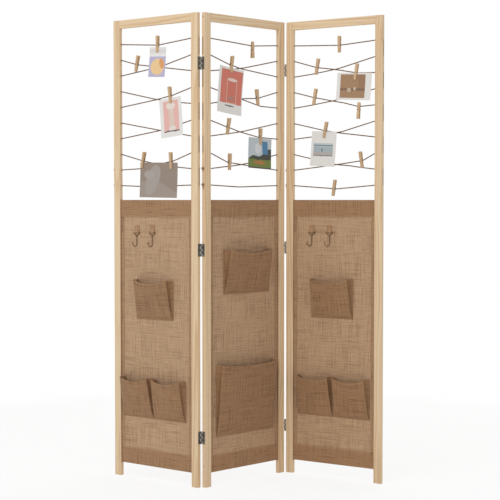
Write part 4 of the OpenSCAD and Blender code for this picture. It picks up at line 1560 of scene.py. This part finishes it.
@dataclass
class Pocket(Maker):
    """A pocket sewn on at its foot and sides, with gussets, a hemmed mouth that sags, and a slack front.
    """

    name: str
    node: str
    left: float
    foot: float
    width: float
    height: float
    seed: float
    depth: float = 34.0
    sag: float = 14.0
    inset: float = 11.0
    foot_inset: float = 5.0
    tuck: float = 17.0
    belly: float = 3.0
    slack: float = 2.0
    drag: float = 3.2
    mouth_hem: float = 13.0
    hem_rise: float = 0.55
    hem_dip: float = 0.25
    hem_step: float = 0.012
    columns: int = 25
    cloth: float = 1.3
    kept_depth: float = 0.19

    def side(self, share: float, out: float, drawn: float) -> list[tuple[float, float]]:
        """Gives the gusset of one level, folded inwards.

        Args:
            share: the level's share of the height.
            out: how far the front stands off there.
            drawn: how far the front's edge is drawn in there.

        Returns:
            Points (across, outward) from the seam to the front's edge.
        """
        fold = drawn * 0.7 + self.tuck * share**0.28 * (1 - 0.4 * share)
        return [(0.0, 0.2), (drawn / 4 + fold * 0.5, out * 0.24), (fold, out * 0.5),
                (fold * 0.35 + drawn * 0.65 - 0.3, out * 0.78), (drawn - 0.4, out - 1.2 * share)]

    def ring(self, share: float) -> np.ndarray:
        """Gives one level of the pocket, from its left seam round the front to its right seam.

        Args:
            share: the level's share of the height.

        Returns:
            Points (across, outward, up) in millimetres from the pocket's lower left corner.
        """
        out = 0.5 + self.depth * share**0.8
        drawn = self.foot_inset * min(1.0, 6 * share) + (self.inset - self.foot_inset) * share
        up = self.height * share
        side = [(x, y, up) for x, y in self.side(share, out, drawn)]
        front = []
        for u in np.linspace(0, 1, self.columns):
            swell = 4 * u * (1 - u)
            x = drawn + 0.8 * share + (self.width - 2 * drawn - 1.6 * share) * u
            slack = noise.noise(Vector((x / 38, up / 55, self.seed))) * self.slack * min(1, share * 2.5)
            drag = math.sin((u * 2.2 + share * 1.4) * math.pi + self.seed) * self.drag * share * (1 - share)
            front.append((x, out + self.belly * swell * share + (slack + drag) * (0.25 + 0.75 * swell),
                          up - self.sag * swell * share * share))
        other = [(self.width - x, y, z) for x, y, z in reversed(side)]
        return np.array(side + front + other)

    def grid(self) -> tuple[np.ndarray, np.ndarray]:
        """Stacks the levels.

        Returns:
            The pocket's points on the panel and their places on the flat cut.
        """
        hem = 1 - self.mouth_hem / self.height
        shares = np.concatenate((np.linspace(0, hem - self.hem_step, 17), [hem, hem + self.hem_step],
                                 np.linspace(hem + 0.02, 1, 5)))
        rings = [self.ring(s) for s in shares]
        widest = gone_along(rings[-1])
        grid, flat = np.zeros((2, len(rings[0]), len(shares), 3))
        for j, (share, ring) in enumerate(zip(shares, rings)):
            in_hem = share > hem
            rise = self.hem_rise if in_hem else (-self.hem_dip if share >= hem else 0.0)
            for i, (x, out, up) in enumerate(ring):
                in_front = min(i, len(ring) - 1 - i) > 3
                grid[i, j] = (self.left + x, SIZES.face_y - out - self.cloth / 2 - (rise if in_front else 0),
                              self.foot + up)
                flat[i, j] = (widest[i] * MM + self.seed, share * self.height * MM, 1.0 if in_hem else 0.0)
        return grid, flat

    def seams(self) -> list[Seam]:
        """Gives the stitches below the mouth and along the foot."""
        seams = []
        for share, lift in ((1 - self.mouth_hem / self.height - 0.002, 0.12), (0.035, 0.32)):
            places = [(self.left + x, SIZES.face_y - out - self.cloth - lift, self.foot + up)
                      for x, out, up in self.ring(share)[6:-6]]
            seams.append((spaced(np.array(places), 4.0), -1.0))
        return seams

    def make(self, cloth: bpy.types.Object) -> None:
        """Makes the pocket and its stitches.

        Args:
            cloth: the burlap that it is sewn to; not used.
        """
        grid, flat = self.grid()
        cutter = Cutter()
        cutter.sheet(grid, flat, self.cloth)
        name = f"{self.word}_{self.name}"
        mesh = cutter.mesh(name, self.panel.matrix, [POCKET_CLOTH], 60)
        pocket = self.add(name, mesh, "pocket_burlap", [f"{self.word}_{self.node}"])
        sewing = Sewing(self.panel, pitch=4.0, length=2.9, thread=0.7)
        stitches = sewing.sew(f"{name}_stitches", self.seams(), "pocket_burlap")
        cut = length_of(grid[:, -1]) * MM, self.height * MM
        min(cutter.area, cut[0] * cut[1])
        if self.panel.side is not Side.LEFT:
            anchor = tuple(self.panel.at((self.left, SIZES.face_y, self.foot)))
            for piece in (pocket, stitches):
                tuple(self.panel.forward)
                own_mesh(piece)


@dataclass
class PocketSet(Maker):
    """All the pockets of one panel."""

    def pockets(self) -> list[Pocket]:
        """Gives the panel's pockets, at the same places as in the CAD source."""
        high, low, panel = SIZES.cloth_high, SIZES.cloth_low, self.panel
        if panel.side is Side.CENTRE:
            return [Pocket(panel, "upper_pocket_cloth", "upper_pocket", 95, high - 182 - 162, 226, 162, 2.3),
                    Pocket(panel, "lower_pocket_cloth", "lower_pocket", 58, low + 128, 286, 262, 5.1,
                           sag=10, inset=5)]
        right = panel.side is Side.RIGHT
        left, other = (49, 49) if right else (39, 59)
        each, seed = (SIZES.panel - left - other) / 2, 11.0 if right else 0.0
        upper = Pocket(panel, "upper_pocket_cloth", "upper_pocket", 107, high - 294 - 146, 175, 146,
                       1.1 + seed)
        pair = [Pocket(panel, f"lower_pocket_cloth_{i + 1}", "lower_pockets", left + i * each, low + 180,
                       each - 0.1, 150, 3.7 + 2 * i + seed) for i in (0, 1)]
        return [upper, *pair]

    def make(self, cloth: bpy.types.Object) -> None:
        """Makes each pocket on the panel's burlap."""
        for pocket in self.pockets():
            pocket.make(cloth)


# ---- Hooks ----

# The middle of each hook from the panel's left edge, in millimetres.
HOOKS = (108.0, 183.0)


@dataclass
class Hook(Maker):
    """A wire hook that swings on its bar, and the cloth tab that holds it."""

    number: int
    x: float
    wire: float = 1.2
    bend: float = 10.0
    stem: float = 30.0
    eye: float = 12.0
    eye_proud: float = 3.3
    eye_corner: float = 2.2
    tip: float = 6.0
    tab: float = 22.0
    tab_height: float = 25.0
    tab_cloth: float = 0.95
    tab_seam: float = 3.0
    drop: float = 121.0
    stand_off: float = 2.6

    @property
    def bar(self) -> Place:
        """The middle of the hook's bar, in the panel's millimetres."""
        return (self.x, SIZES.face_y - self.stand_off, SIZES.cloth_high - self.drop)

    def line(self) -> np.ndarray:
        """Leads the wire round the triangle, down the stem and round the bend.

        Returns:
            The points of its line.
        """
        x, y, z = self.bar
        half, low = self.tab / 2 + self.eye_proud, -self.eye - self.stem
        beside = -2 * self.wire - 0.05
        corners = [(beside, -self.eye - 4), (beside, -self.eye), (-half, -self.eye_corner), (-half, 0),
                   (half, 0), (half, -self.eye_corner), (0, -self.eye), (0, low)]
        start = rounded([(x + a, y, z + b) for a, b in corners], 2.6, 5)
        curve = [(x + self.bend * (math.cos(a) - 1), y, z + low - self.bend * math.sin(a))
                 for a in np.linspace(0.1, math.pi, 18)]
        return np.concatenate((start, curve, [(x - 2 * self.bend, y, z + low + self.tip)]))

    def tab_sheet(self) -> tuple[np.ndarray, np.ndarray, float]:
        """Folds the tab's strip over the bar.

        Returns:
            Its points, their places on the flat strip, and the strip's length in millimetres.
        """
        x, y, z = self.bar
        loop = self.wire + 0.75
        back, front = self.stand_off - 0.65, self.stand_off - 1.75
        path = [(back, self.tab_height - 0.4), (back, 9.0), (loop - 0.4, 4.0)]
        path += [(loop * math.cos(a), loop * math.sin(a)) for a in np.linspace(0, -math.pi, 12)]
        path += [(-loop + 0.1, 3.2), (front - 0.35, 9.0), (front, 12.0), (front, self.tab_height - 0.4)]
        line = spaced(np.array(path), 1.2)
        gone = gone_along(line)
        across = np.linspace(-self.tab / 2, self.tab / 2, 9)
        grid, flat = np.zeros((2, len(across), len(line), 3))
        for i, a in enumerate(across):
            for j, (through, up) in enumerate(line):
                grid[i, j] = (x + a, y + through, z + up)
                flat[i, j] = (a * MM + self.number, gone[j] * MM, 1.0)
        return grid[::-1], flat[::-1], float(gone[-1])

    def seams(self) -> list[Seam]:
        """Gives the square of stitches that holds the tab."""
        x, _, z = self.bar
        half, y = self.tab / 2 - self.tab_seam, SIZES.face_y - 2.25
        low, high = z + 13, z + self.tab_height - self.tab_seam
        square = [(x - half, y, low), (x + half, y, low), (x + half, y, high), (x - half, y, high)]
        return [(np.array(ends), -1.0) for ends in zip(square, square[1:] + square[:1])]

    def make(self, cloth: bpy.types.Object) -> None:
        """Makes the hook, its tab and the tab's stitches.

        Args:
            cloth: the burlap that the tab is sewn to; not used.
        """
        hook, matrix = f"{self.word}_hook_{self.number}", self.panel.matrix
        source = line_mesh("hook_line", [self.line()], matrix)
        given = {"Step": 0.9 * MM, "Radius": self.wire * MM, "Sides": 14, "Finish": HOOK_METAL.material()}
        self.add(f"{self.word}_hook_wire_{self.number}", grow(wire_growth(), source, given), "hook_wire",
                 [hook], hook)
        grid, flat, cut = self.tab_sheet()
        cutter = Cutter()
        cutter.sheet(grid, flat, self.tab_cloth)
        name = f"{self.word}_hook_tab_cloth_{self.number}"
        tab = self.add(name, cutter.mesh(name, matrix, [TAB_CLOTH]), "pocket_burlap",
                       [f"{self.word}_hook_tabs"])
        sewing = Sewing(self.panel, pitch=3.2, length=2.4, thread=0.6)
        stitches = sewing.sew(f"{name}_stitches", self.seams(), "pocket_burlap")
        cut * MM


# ---- Pegs ----


@dataclass
class PegSet(Maker):
    """The wooden pegs of one panel: a front lever on its own body, a back lever and a wound spring."""

    width: float = 10.0
    jaw: float = 32.5
    handle: float = 28.0
    jaw_gap: float = 0.35
    coil: float = 3.0
    wire: float = 0.55
    seat_depth: float = 5.05
    seat_drop: float = 7.0
    turns: int = 3
    edge: float = 0.3
    edge_angle: float = 60.0
    shading_angle: float = 40.0
    grain_shift: Place = (0.31, 0.17, 0.43)
    bent_from: float = -2.6
    bent_to: float = -4.6

    def outline(self) -> list[tuple[float, float]]:
        """Draws a lever from the side.

        Returns:
            Points (through, up) in millimetres from the pivot, its jaw below and its inner face at +Y.
        """
        hollow = self.coil + 0.3
        arc = [(-hollow * math.cos(a), -hollow * math.sin(a)) for a in np.linspace(1.465, -1.34, 13)]
        seat = self.wire + 0.15
        cut = [(-self.seat_depth + seat * math.sin(a), -self.seat_drop + seat * math.cos(a))
               for a in np.linspace(0.1, math.pi - 0.1, 7)]
        inner = [(-self.jaw_gap, -self.jaw + 0.8), *arc, (-0.8, 3.5), (-3.6, self.handle - 0.8),
                 (-4.1, self.handle)]
        outer = [(-5.8, self.handle), (-6.5, self.handle - 0.9), (-5.9, 8), (-5.3, 0), *cut, (-5.1, -8.4),
                 (-4.3, 7 - self.jaw), (-3.4, 1.6 - self.jaw), (-2.5, 0.2 - self.jaw), (-1.1, -self.jaw)]
        return inner + outer

    def lever_mesh(self, name: str, back: bool, bite: float,
                   shift: np.ndarray | float = 0.0) -> bpy.types.Mesh:
        """Makes one lever about its pivot, in millimetres.

        Args:
            name: the mesh's name.
            back: whether it is the back lever, mirrored and notched for the twine.
            bite: how far the twine lies from the jaw's tip.
            shift: where in the board it is cut, so that no two have the same grain.

        Returns:
            The mesh.
        """
        points = self.outline()
        if back:
            points = self.notched(points, bite)
        shape = bmesh.new()
        sign = -1 if back else 1
        ring = [shape.verts.new((-self.width / 2, sign * y, z)) for y, z in points]
        face = shape.faces.new(ring)
        extruded = bmesh.ops.extrude_face_region(shape, geom=[face])
        moved = [v for v in extruded["geom"] if isinstance(v, bmesh.types.BMVert)]
        bmesh.ops.translate(shape, verts=moved, vec=(self.width, 0, 0))
        bmesh.ops.recalc_face_normals(shape, faces=shape.faces)
        sharp = math.radians(self.edge_angle)
        rims = [e for e in shape.edges if e.is_manifold and e.calc_face_angle() > sharp]
        bmesh.ops.bevel(shape, geom=rims, offset=self.edge, segments=2, affect="EDGES", clamp_overlap=True)
        bmesh.ops.triangulate(shape, faces=[f for f in shape.faces if len(f.verts) > 4])
        mesh = bpy.data.meshes.new(name)
        shape.to_mesh(mesh)
        shape.free()
        mark(mesh, "grain", np.array([v.co for v in mesh.vertices], float) * MM + shift)
        mesh.materials.append(PEG_WOOD.material())
        return sharpened(mesh, self.shading_angle)

    def notched(self, points: list[tuple[float, float]], bite: float) -> list[tuple[float, float]]:
        """Cuts the notch for the twine into a lever's inner face.

        Args:
            points: the lever's outline.
            bite: how far the twine lies from the jaw's tip.

        Returns:
            The outline with its notch.
        """
        radius, away, up = SIZES.twine + 0.2, SIZES.twine_y - SIZES.sheet_y, bite - self.jaw
        reach = math.pi - math.acos(min(1.0, (away - self.jaw_gap) / radius))
        cut = [(-(away + radius * math.cos(a)), up - radius * math.sin(a))
               for a in np.linspace(reach, -reach, 9)]
        return [points[0], *cut, *points[1:]]

    def spring_line(self) -> np.ndarray:
        """Leads the spring's wire over the front lever, round the coil and over the back lever.

        Returns:
            The points of its line, in millimetres from the pivot.
        """
        side = self.width / 2 + self.wire + 0.1
        bend, wind = 1.45 * self.wire, self.coil - self.wire
        half, deep, down = self.width / 2, self.seat_depth, self.seat_drop
        arm = [(-half, -deep, -down), (side - bend, -deep, -down), (side, bend - deep, 0.4 * bend - down)]
        count = 16 * self.turns + 8
        coil = []
        for i in range(count + 1):
            a = math.radians(-120 - 22.5 * i)
            coil.append((side * (1 - 2 * i / count), wind * math.cos(a), wind * math.sin(a)))
        other = [(-x, -y, z) for x, y, z in reversed(arm)]
        start, end = rounded([*arm, coil[0]], 0.7), rounded([coil[-1], *other], 0.7)
        return np.concatenate((start[:-1], coil, end[1:]))

    def make(self) -> None:
        """Makes every peg of the panel."""
        word, side = self.word, self.panel.side
        wire = {"Step": 0.5 * MM, "Radius": self.wire * MM, "Sides": 8, "Finish": SPRING_METAL.material()}
        for number, place in enumerate(PEGS[side], 1):
            matrix, peg = place.matrix(self.panel, self.jaw), f"{word}_peg_{number}"
            shift = np.array(self.grain_shift) * number + side.value
            front = self.lever_mesh(f"{word}_peg_front_{number}", False, place.bite, shift)
            front.transform(matrix)
            self.add(front.name, front, "peg_wood", [peg], peg)
            source = line_mesh("spring_line", [self.spring_line()], matrix)
            spring = self.add(f"{word}_peg_spring_{number}", grow(wire_growth(), source, wire),
                              "spring_steel", [f"{word}_peg_springs"], "")
            side.body
            tuple(matrix @ Vector((0, self.bent_from, 0)))
            tuple(matrix @ Vector((0, self.bent_to, 0)))
            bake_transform(spring)
        for bite in sorted({place.bite for place in PEGS[side]}):
            self._backs(bite)

    def _backs(self, bite: float) -> None:
        """Sets out the back levers that share one bite.

        Args:
            bite: how far the twine lies from their jaws' tips.
        """
        places = [p for p in PEGS[self.panel.side] if p.bite == bite]
        lever = placed("lever", self.lever_mesh("lever", True, bite))
        lever.data.transform(Matrix.Scale(MM, 4))
        points = bpy.data.meshes.new("pegs")
        matrices = [p.matrix(self.panel, self.jaw) for p in places]
        points.from_pydata([m.to_translation() for m in matrices], [], [])
        turns = [component for m in matrices for component in m.to_euler()]
        mark(points, "turn", turns)
        mesh = grow(scatter_growth(), points, {"Piece": lever, "Finish": PEG_WOOD.material()})
        bpy.data.objects.remove(lever)
        self.add(f"{self.word}_peg_backs_{bite:.0f}", sharpened(mesh, self.shading_angle), "peg_wood",
                 [f"{self.word}_peg_backs"])


# ---- Prints ----


@dataclass
class PrintSet(Maker):
    """The prints that one panel's pegs hold, flat in the jaws and curling below them."""

    paper: float = 0.32
    held: float = 0.24
    cup: float = 0.8
    corner_lift: float = 0.5
    flat_middle: float = 0.35
    columns: int = 25
    rows: int = 33

    def sheet(self, place: PrintPlace) -> tuple[np.ndarray, np.ndarray]:
        """Curls a print below its peg.

        Args:
            place: the print.

        Returns:
            Its points on the panel, and their places from 0 to 1 on the paper.
        """
        x, y, z = PEGS[self.panel.side][place.peg].middle
        middle = Vector((x + place.right, y, z - place.below))
        turn = Matrix.Rotation(math.radians(-place.lean), 3, "Y")
        grid, flat = np.zeros((2, self.columns, self.rows, 3))
        for i, u in enumerate(np.linspace(0, 1, self.columns)):
            for j, v in enumerate(np.linspace(0, 1, self.rows)):
                away = max(0.0, (1 - self.held - v) / (1 - self.held))
                bow = place.curl * away**1.7 + self.cup * place.curl * (2 * u - 1) ** 2 * away**1.3
                corner = max(0.0, abs(2 * u - 1) - self.flat_middle) ** 2 * (1 - away) ** 2
                lift = self.corner_lift * place.curl * corner
                spot = Vector(((u - 0.5) * place.width, -bow - lift, (v - 0.5) * place.height))
                grid[i, j] = middle + turn @ spot
                flat[i, j] = (u, v, 0)
        return grid, flat

    def make(self) -> None:
        """Makes each print."""
        for number, place in enumerate(PRINTS[self.panel.side], 1):
            cutter = Cutter()
            cutter.sheet(*self.sheet(place), self.paper)
            name = f"{self.word}_print_{number}"
            mesh = cutter.mesh(name, self.panel.matrix, [PrintFace(place.picture), PRINT_BACK])
            self.add(name, mesh, "print_paper", [f"{self.word}_cards"])


# ---- Wood and metal ----


class Screw(Enum):
    """The two sizes of countersunk screw: head radius, shank radius and shown length."""

    LEAF = (2.6, 1.4, 6.0)
    FRAME = (3.6, 2.0, 8.0)


@dataclass
class Fastenings(Maker):
    """The screws of one panel, with crossed recesses."""

    leaf: float = 1.2
    hinge: float = 45.0
    end_margins: float = 17.0
    off_middle: float = 1.5
    low_hinge: float = 180.0
    middle_hinge_drop: float = 181.0
    top_hinge_drop: float = 3.7
    screws: int = 3

    @staticmethod
    def screw_mesh(kind: Screw) -> bpy.types.Mesh:
        """Makes a screw.

        Args:
            kind: its sizes.

        Returns:
            The screw in metres, with the middle of its head at zero, facing -X.
        """
        head, shank, length = kind.value
        shape = bmesh.new()
        turns = [math.tau * i / 28 for i in range(28)]

        def ring(radius: float, depth: float) -> list[bmesh.types.BMVert]:
            """Adds a circle of points."""
            return [shape.verts.new((depth, radius * math.cos(a), radius * math.sin(a))) for a in turns]

        def band(a: list[bmesh.types.BMVert], b: list[bmesh.types.BMVert]) -> None:
            """Joins two rings with faces."""
            for i in range(len(a)):
                shape.faces.new((a[i], a[i - 1], b[i - 1], b[i]))

        rings = [ring(head - 0.12, 0.0), ring(head, 0.15), ring(shank, head - shank), ring(shank, length)]
        for a, b in zip(rings, rings[1:]):
            band(a, b)
        shape.faces.new(rings[-1])
        arm, slot = 0.55 * head, 0.13 * head
        cross = [(arm, slot), (slot, slot), (slot, arm), (-slot, arm), (-slot, slot), (-arm, slot),
                 (-arm, -slot), (-slot, -slot), (-slot, -arm), (slot, -arm), (slot, -slot), (arm, -slot)]
        mouth = [shape.verts.new((0.0, y, z)) for y, z in cross]
        floor = [shape.verts.new((0.45 * head, 0.6 * y, 0.6 * z)) for y, z in cross]
        band(mouth, floor)
        shape.faces.new(floor)
        edges = [shape.edges.get((r[i - 1], r[i])) or shape.edges.new((r[i - 1], r[i]))
                 for r in (rings[0], mouth) for i in range(len(r))]
        bmesh.ops.triangle_fill(shape, edges=edges, use_beauty=True)
        bmesh.ops.recalc_face_normals(shape, faces=shape.faces)
        mesh = bpy.data.meshes.new("screw")
        shape.to_mesh(mesh)
        shape.free()
        mesh.transform(Matrix.Scale(MM, 4))
        mesh.attributes.new("grain", "FLOAT_VECTOR", "POINT")
        return mesh

    def places(self, kind: Screw) -> list[tuple[Place, bool]]:
        """Finds where the panel's screws sit.

        Args:
            kind: which screws.

        Returns:
            The middle of each head, and whether it is driven towards -X.
        """
        side = self.panel.side
        if kind is Screw.FRAME:
            heights = (SIZES.height - SIZES.top_rail / 2, SIZES.cloth_high - SIZES.hem / 2,
                       SIZES.cloth_low + SIZES.hem / 2)
            return [((SIZES.panel if far else 0.0, SIZES.sheet_y, z), far)
                    for z in heights for far in (False, True)]
        middles = (self.low_hinge, SIZES.cloth_high - self.middle_hinge_drop,
                   (SIZES.row(2) + SIZES.row(3)) / 2 - self.top_hinge_drop)
        line = SIZES.sheet_y - self.off_middle
        ends = []
        if side is not Side.LEFT:
            ends.append((False, line if side is Side.CENTRE else SIZES.depth - line))
        if side is not Side.RIGHT:
            ends.append((True, line if side is Side.LEFT else SIZES.depth - line))
        step = (self.hinge - self.end_margins) / (self.screws - 1)
        return [((SIZES.panel + self.leaf if far else -self.leaf, y, z + (i - 1) * step), far)
                for far, y in ends for z in middles for i in range(self.screws)]

    def make(self) -> None:
        """Drives the panel's screws and dresses its hinges' leaves."""
        for kind in Screw:
            screw = placed("screw", self.screw_mesh(kind))
            points = bpy.data.meshes.new("screws")
            places = self.places(kind)
            points.from_pydata([self.panel.at(p) for p, _ in places], [], [])
            heading = math.radians(self.panel.heading)
            turns = [t for i, (_, far) in enumerate(places)
                     for t in (0.4 + i * 1.3, 0.0, heading + (math.pi if far else 0.0))]
            mark(points, "turn", turns)
            finish = SCREW_METAL if kind is Screw.FRAME else HINGE_METAL
            mesh = grow(scatter_growth(), points, {"Piece": screw, "Finish": finish.material()})
            bpy.data.objects.remove(screw)
            self.add(f"{self.word}_{kind.name.lower()}_screws", sharpened(mesh, 35), "hinge_steel",
                     [f"{self.word}_screws"])
        dress(f"{self.word}_hinge_leaves", HINGE_METAL)


def dress(node: str, finish: Finish) -> None:
    """Gives a CAD node's own slots a finish."""
    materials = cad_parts[node].data.materials
    for index in range(len(materials)):
        materials[index] = finish.material()


@dataclass
class Woodwork(Maker):
    """The uprights and rails of one panel."""

    def make(self) -> None:
        """Dresses the boards with grain along each."""
        word, heading = self.word, self.panel.heading
        dress(f"{word}_stiles", Wood(f"{word}_upright_pine", Along.UPRIGHT, heading))
        dress(f"{word}_rails", Wood(f"{word}_rail_pine", Along.ACROSS, heading))


# ---- The view ----


@dataclass
class Studio:
    """A pale floor, soft light and the camera at the photograph's place."""

    eye: Place = (0.8202, -4.671, 1.0364)
    turn: float = 9.78
    pitch: float = -2.244
    lens: float = 92.88
    ambient: float = 0.685
    reach: float = 6.0
    fade: tuple[float, float] = (0.8, 2.4)
    clearness: float = 0.84

    def camera(self) -> None:
        """Sets up the camera."""
        data = bpy.data.cameras.new("camera")
        data.lens, data.sensor_width = self.lens, 36.0
        camera = placed("camera", data)
        camera.location = self.eye
        camera.rotation_euler = (math.radians(90 + self.pitch), 0.0, math.radians(self.turn))
        bpy.context.scene.camera = camera

    def floor(self) -> None:
        """Lays a pale floor that fades out into the white beyond it."""
        mesh = bpy.data.meshes.new("floor")
        corners = ((-1, -1), (1, -1), (1, 1), (-1, 1))
        mesh.from_pydata([(x * self.reach, y * self.reach, 0) for x, y in corners], [], [(0, 1, 2, 3)])
        on = Paint("floor")
        x, y, _ = on.spot().parts()
        far = on.vector(x, y, 0.0).length().ease(*self.fade)
        seen = on.out("ShaderNodeLightPath", output="Is Camera Ray")
        values = {"Base Color": srgb(250, 249, 247), "Roughness": 0.7, "Specular IOR Level": 0.1}
        mesh.materials.append(on.surface(values, see_through=far.most(seen * self.clearness)))
        placed("floor", mesh)

    def world(self) -> None:
        """Fills the world with soft light, plain white where it is seen."""
        world = bpy.data.worlds.new("studio")
        world.use_nodes = True
        world.node_tree.nodes.clear()
        bpy.context.scene.world = world
        graph = Graph(world.node_tree)
        rays = graph.node("ShaderNodeLightPath")
        seen = Value(graph, rays.outputs["Is Camera Ray"])
        for name in ("Is Glossy Ray", "Is Transmission Ray"):
            seen = seen.most(Value(graph, rays.outputs[name]))
        strength = seen * (1 - self.ambient) + self.ambient
        shade = graph.out("ShaderNodeBackground", values={"Color": (1, 1, 1, 1), "Strength": strength})
        graph.node("ShaderNodeOutputWorld", values={"Surface": shade})

    def lamp(self, name: str, place: Place, power: float, size: float, aim: float) -> None:
        """Hangs a soft square lamp.

        Args:
            name: its name.
            place: where it hangs, in metres.
            power: in watts.
            size: its side, in metres.
            aim: the height on the divider that it points at.
        """
        data = bpy.data.lights.new(name, "AREA")
        data.energy, data.size = power, size
        lamp = placed(name, data)
        lamp.location = place
        lamp.rotation_euler = (Vector((0, 0, aim)) - Vector(place)).to_track_quat("-Z", "Y").to_euler()

    def make(self) -> None:
        """Builds the whole set."""
        bpy.context.scene.view_settings.view_transform = "Standard"
        self.camera()
        self.floor()
        self.world()
        self.lamp("key", (-1.2, -2.6, 3.3), power=33.0, size=1.8, aim=1.3)
        self.lamp("back", (1.2, 2.8, 3.2), power=24.0, size=2.0, aim=1.2)
        log.info("studio ready")


def main() -> None:
    """Builds the studio and every piece."""
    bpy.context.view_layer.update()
    Studio().make()
    for panel in PANELS.values():
        TwineLacing(panel).make()
    for side, panel in PANELS.items():
        Woodwork(panel).make()
        cloth = BurlapCloth(panel).make()
        PocketSet(panel).make(cloth)
        if side is not Side.CENTRE:
            for number, x in enumerate(HOOKS, 1):
                Hook(panel, number, x).make(cloth)
        PegSet(panel).make()
        PrintSet(panel).make()
        Fastenings(panel).make()
    for word in ("left", "right"):
        dress(f"{word}_fold_pins", PIN_METAL)


if __name__ == "__main__":
    main()
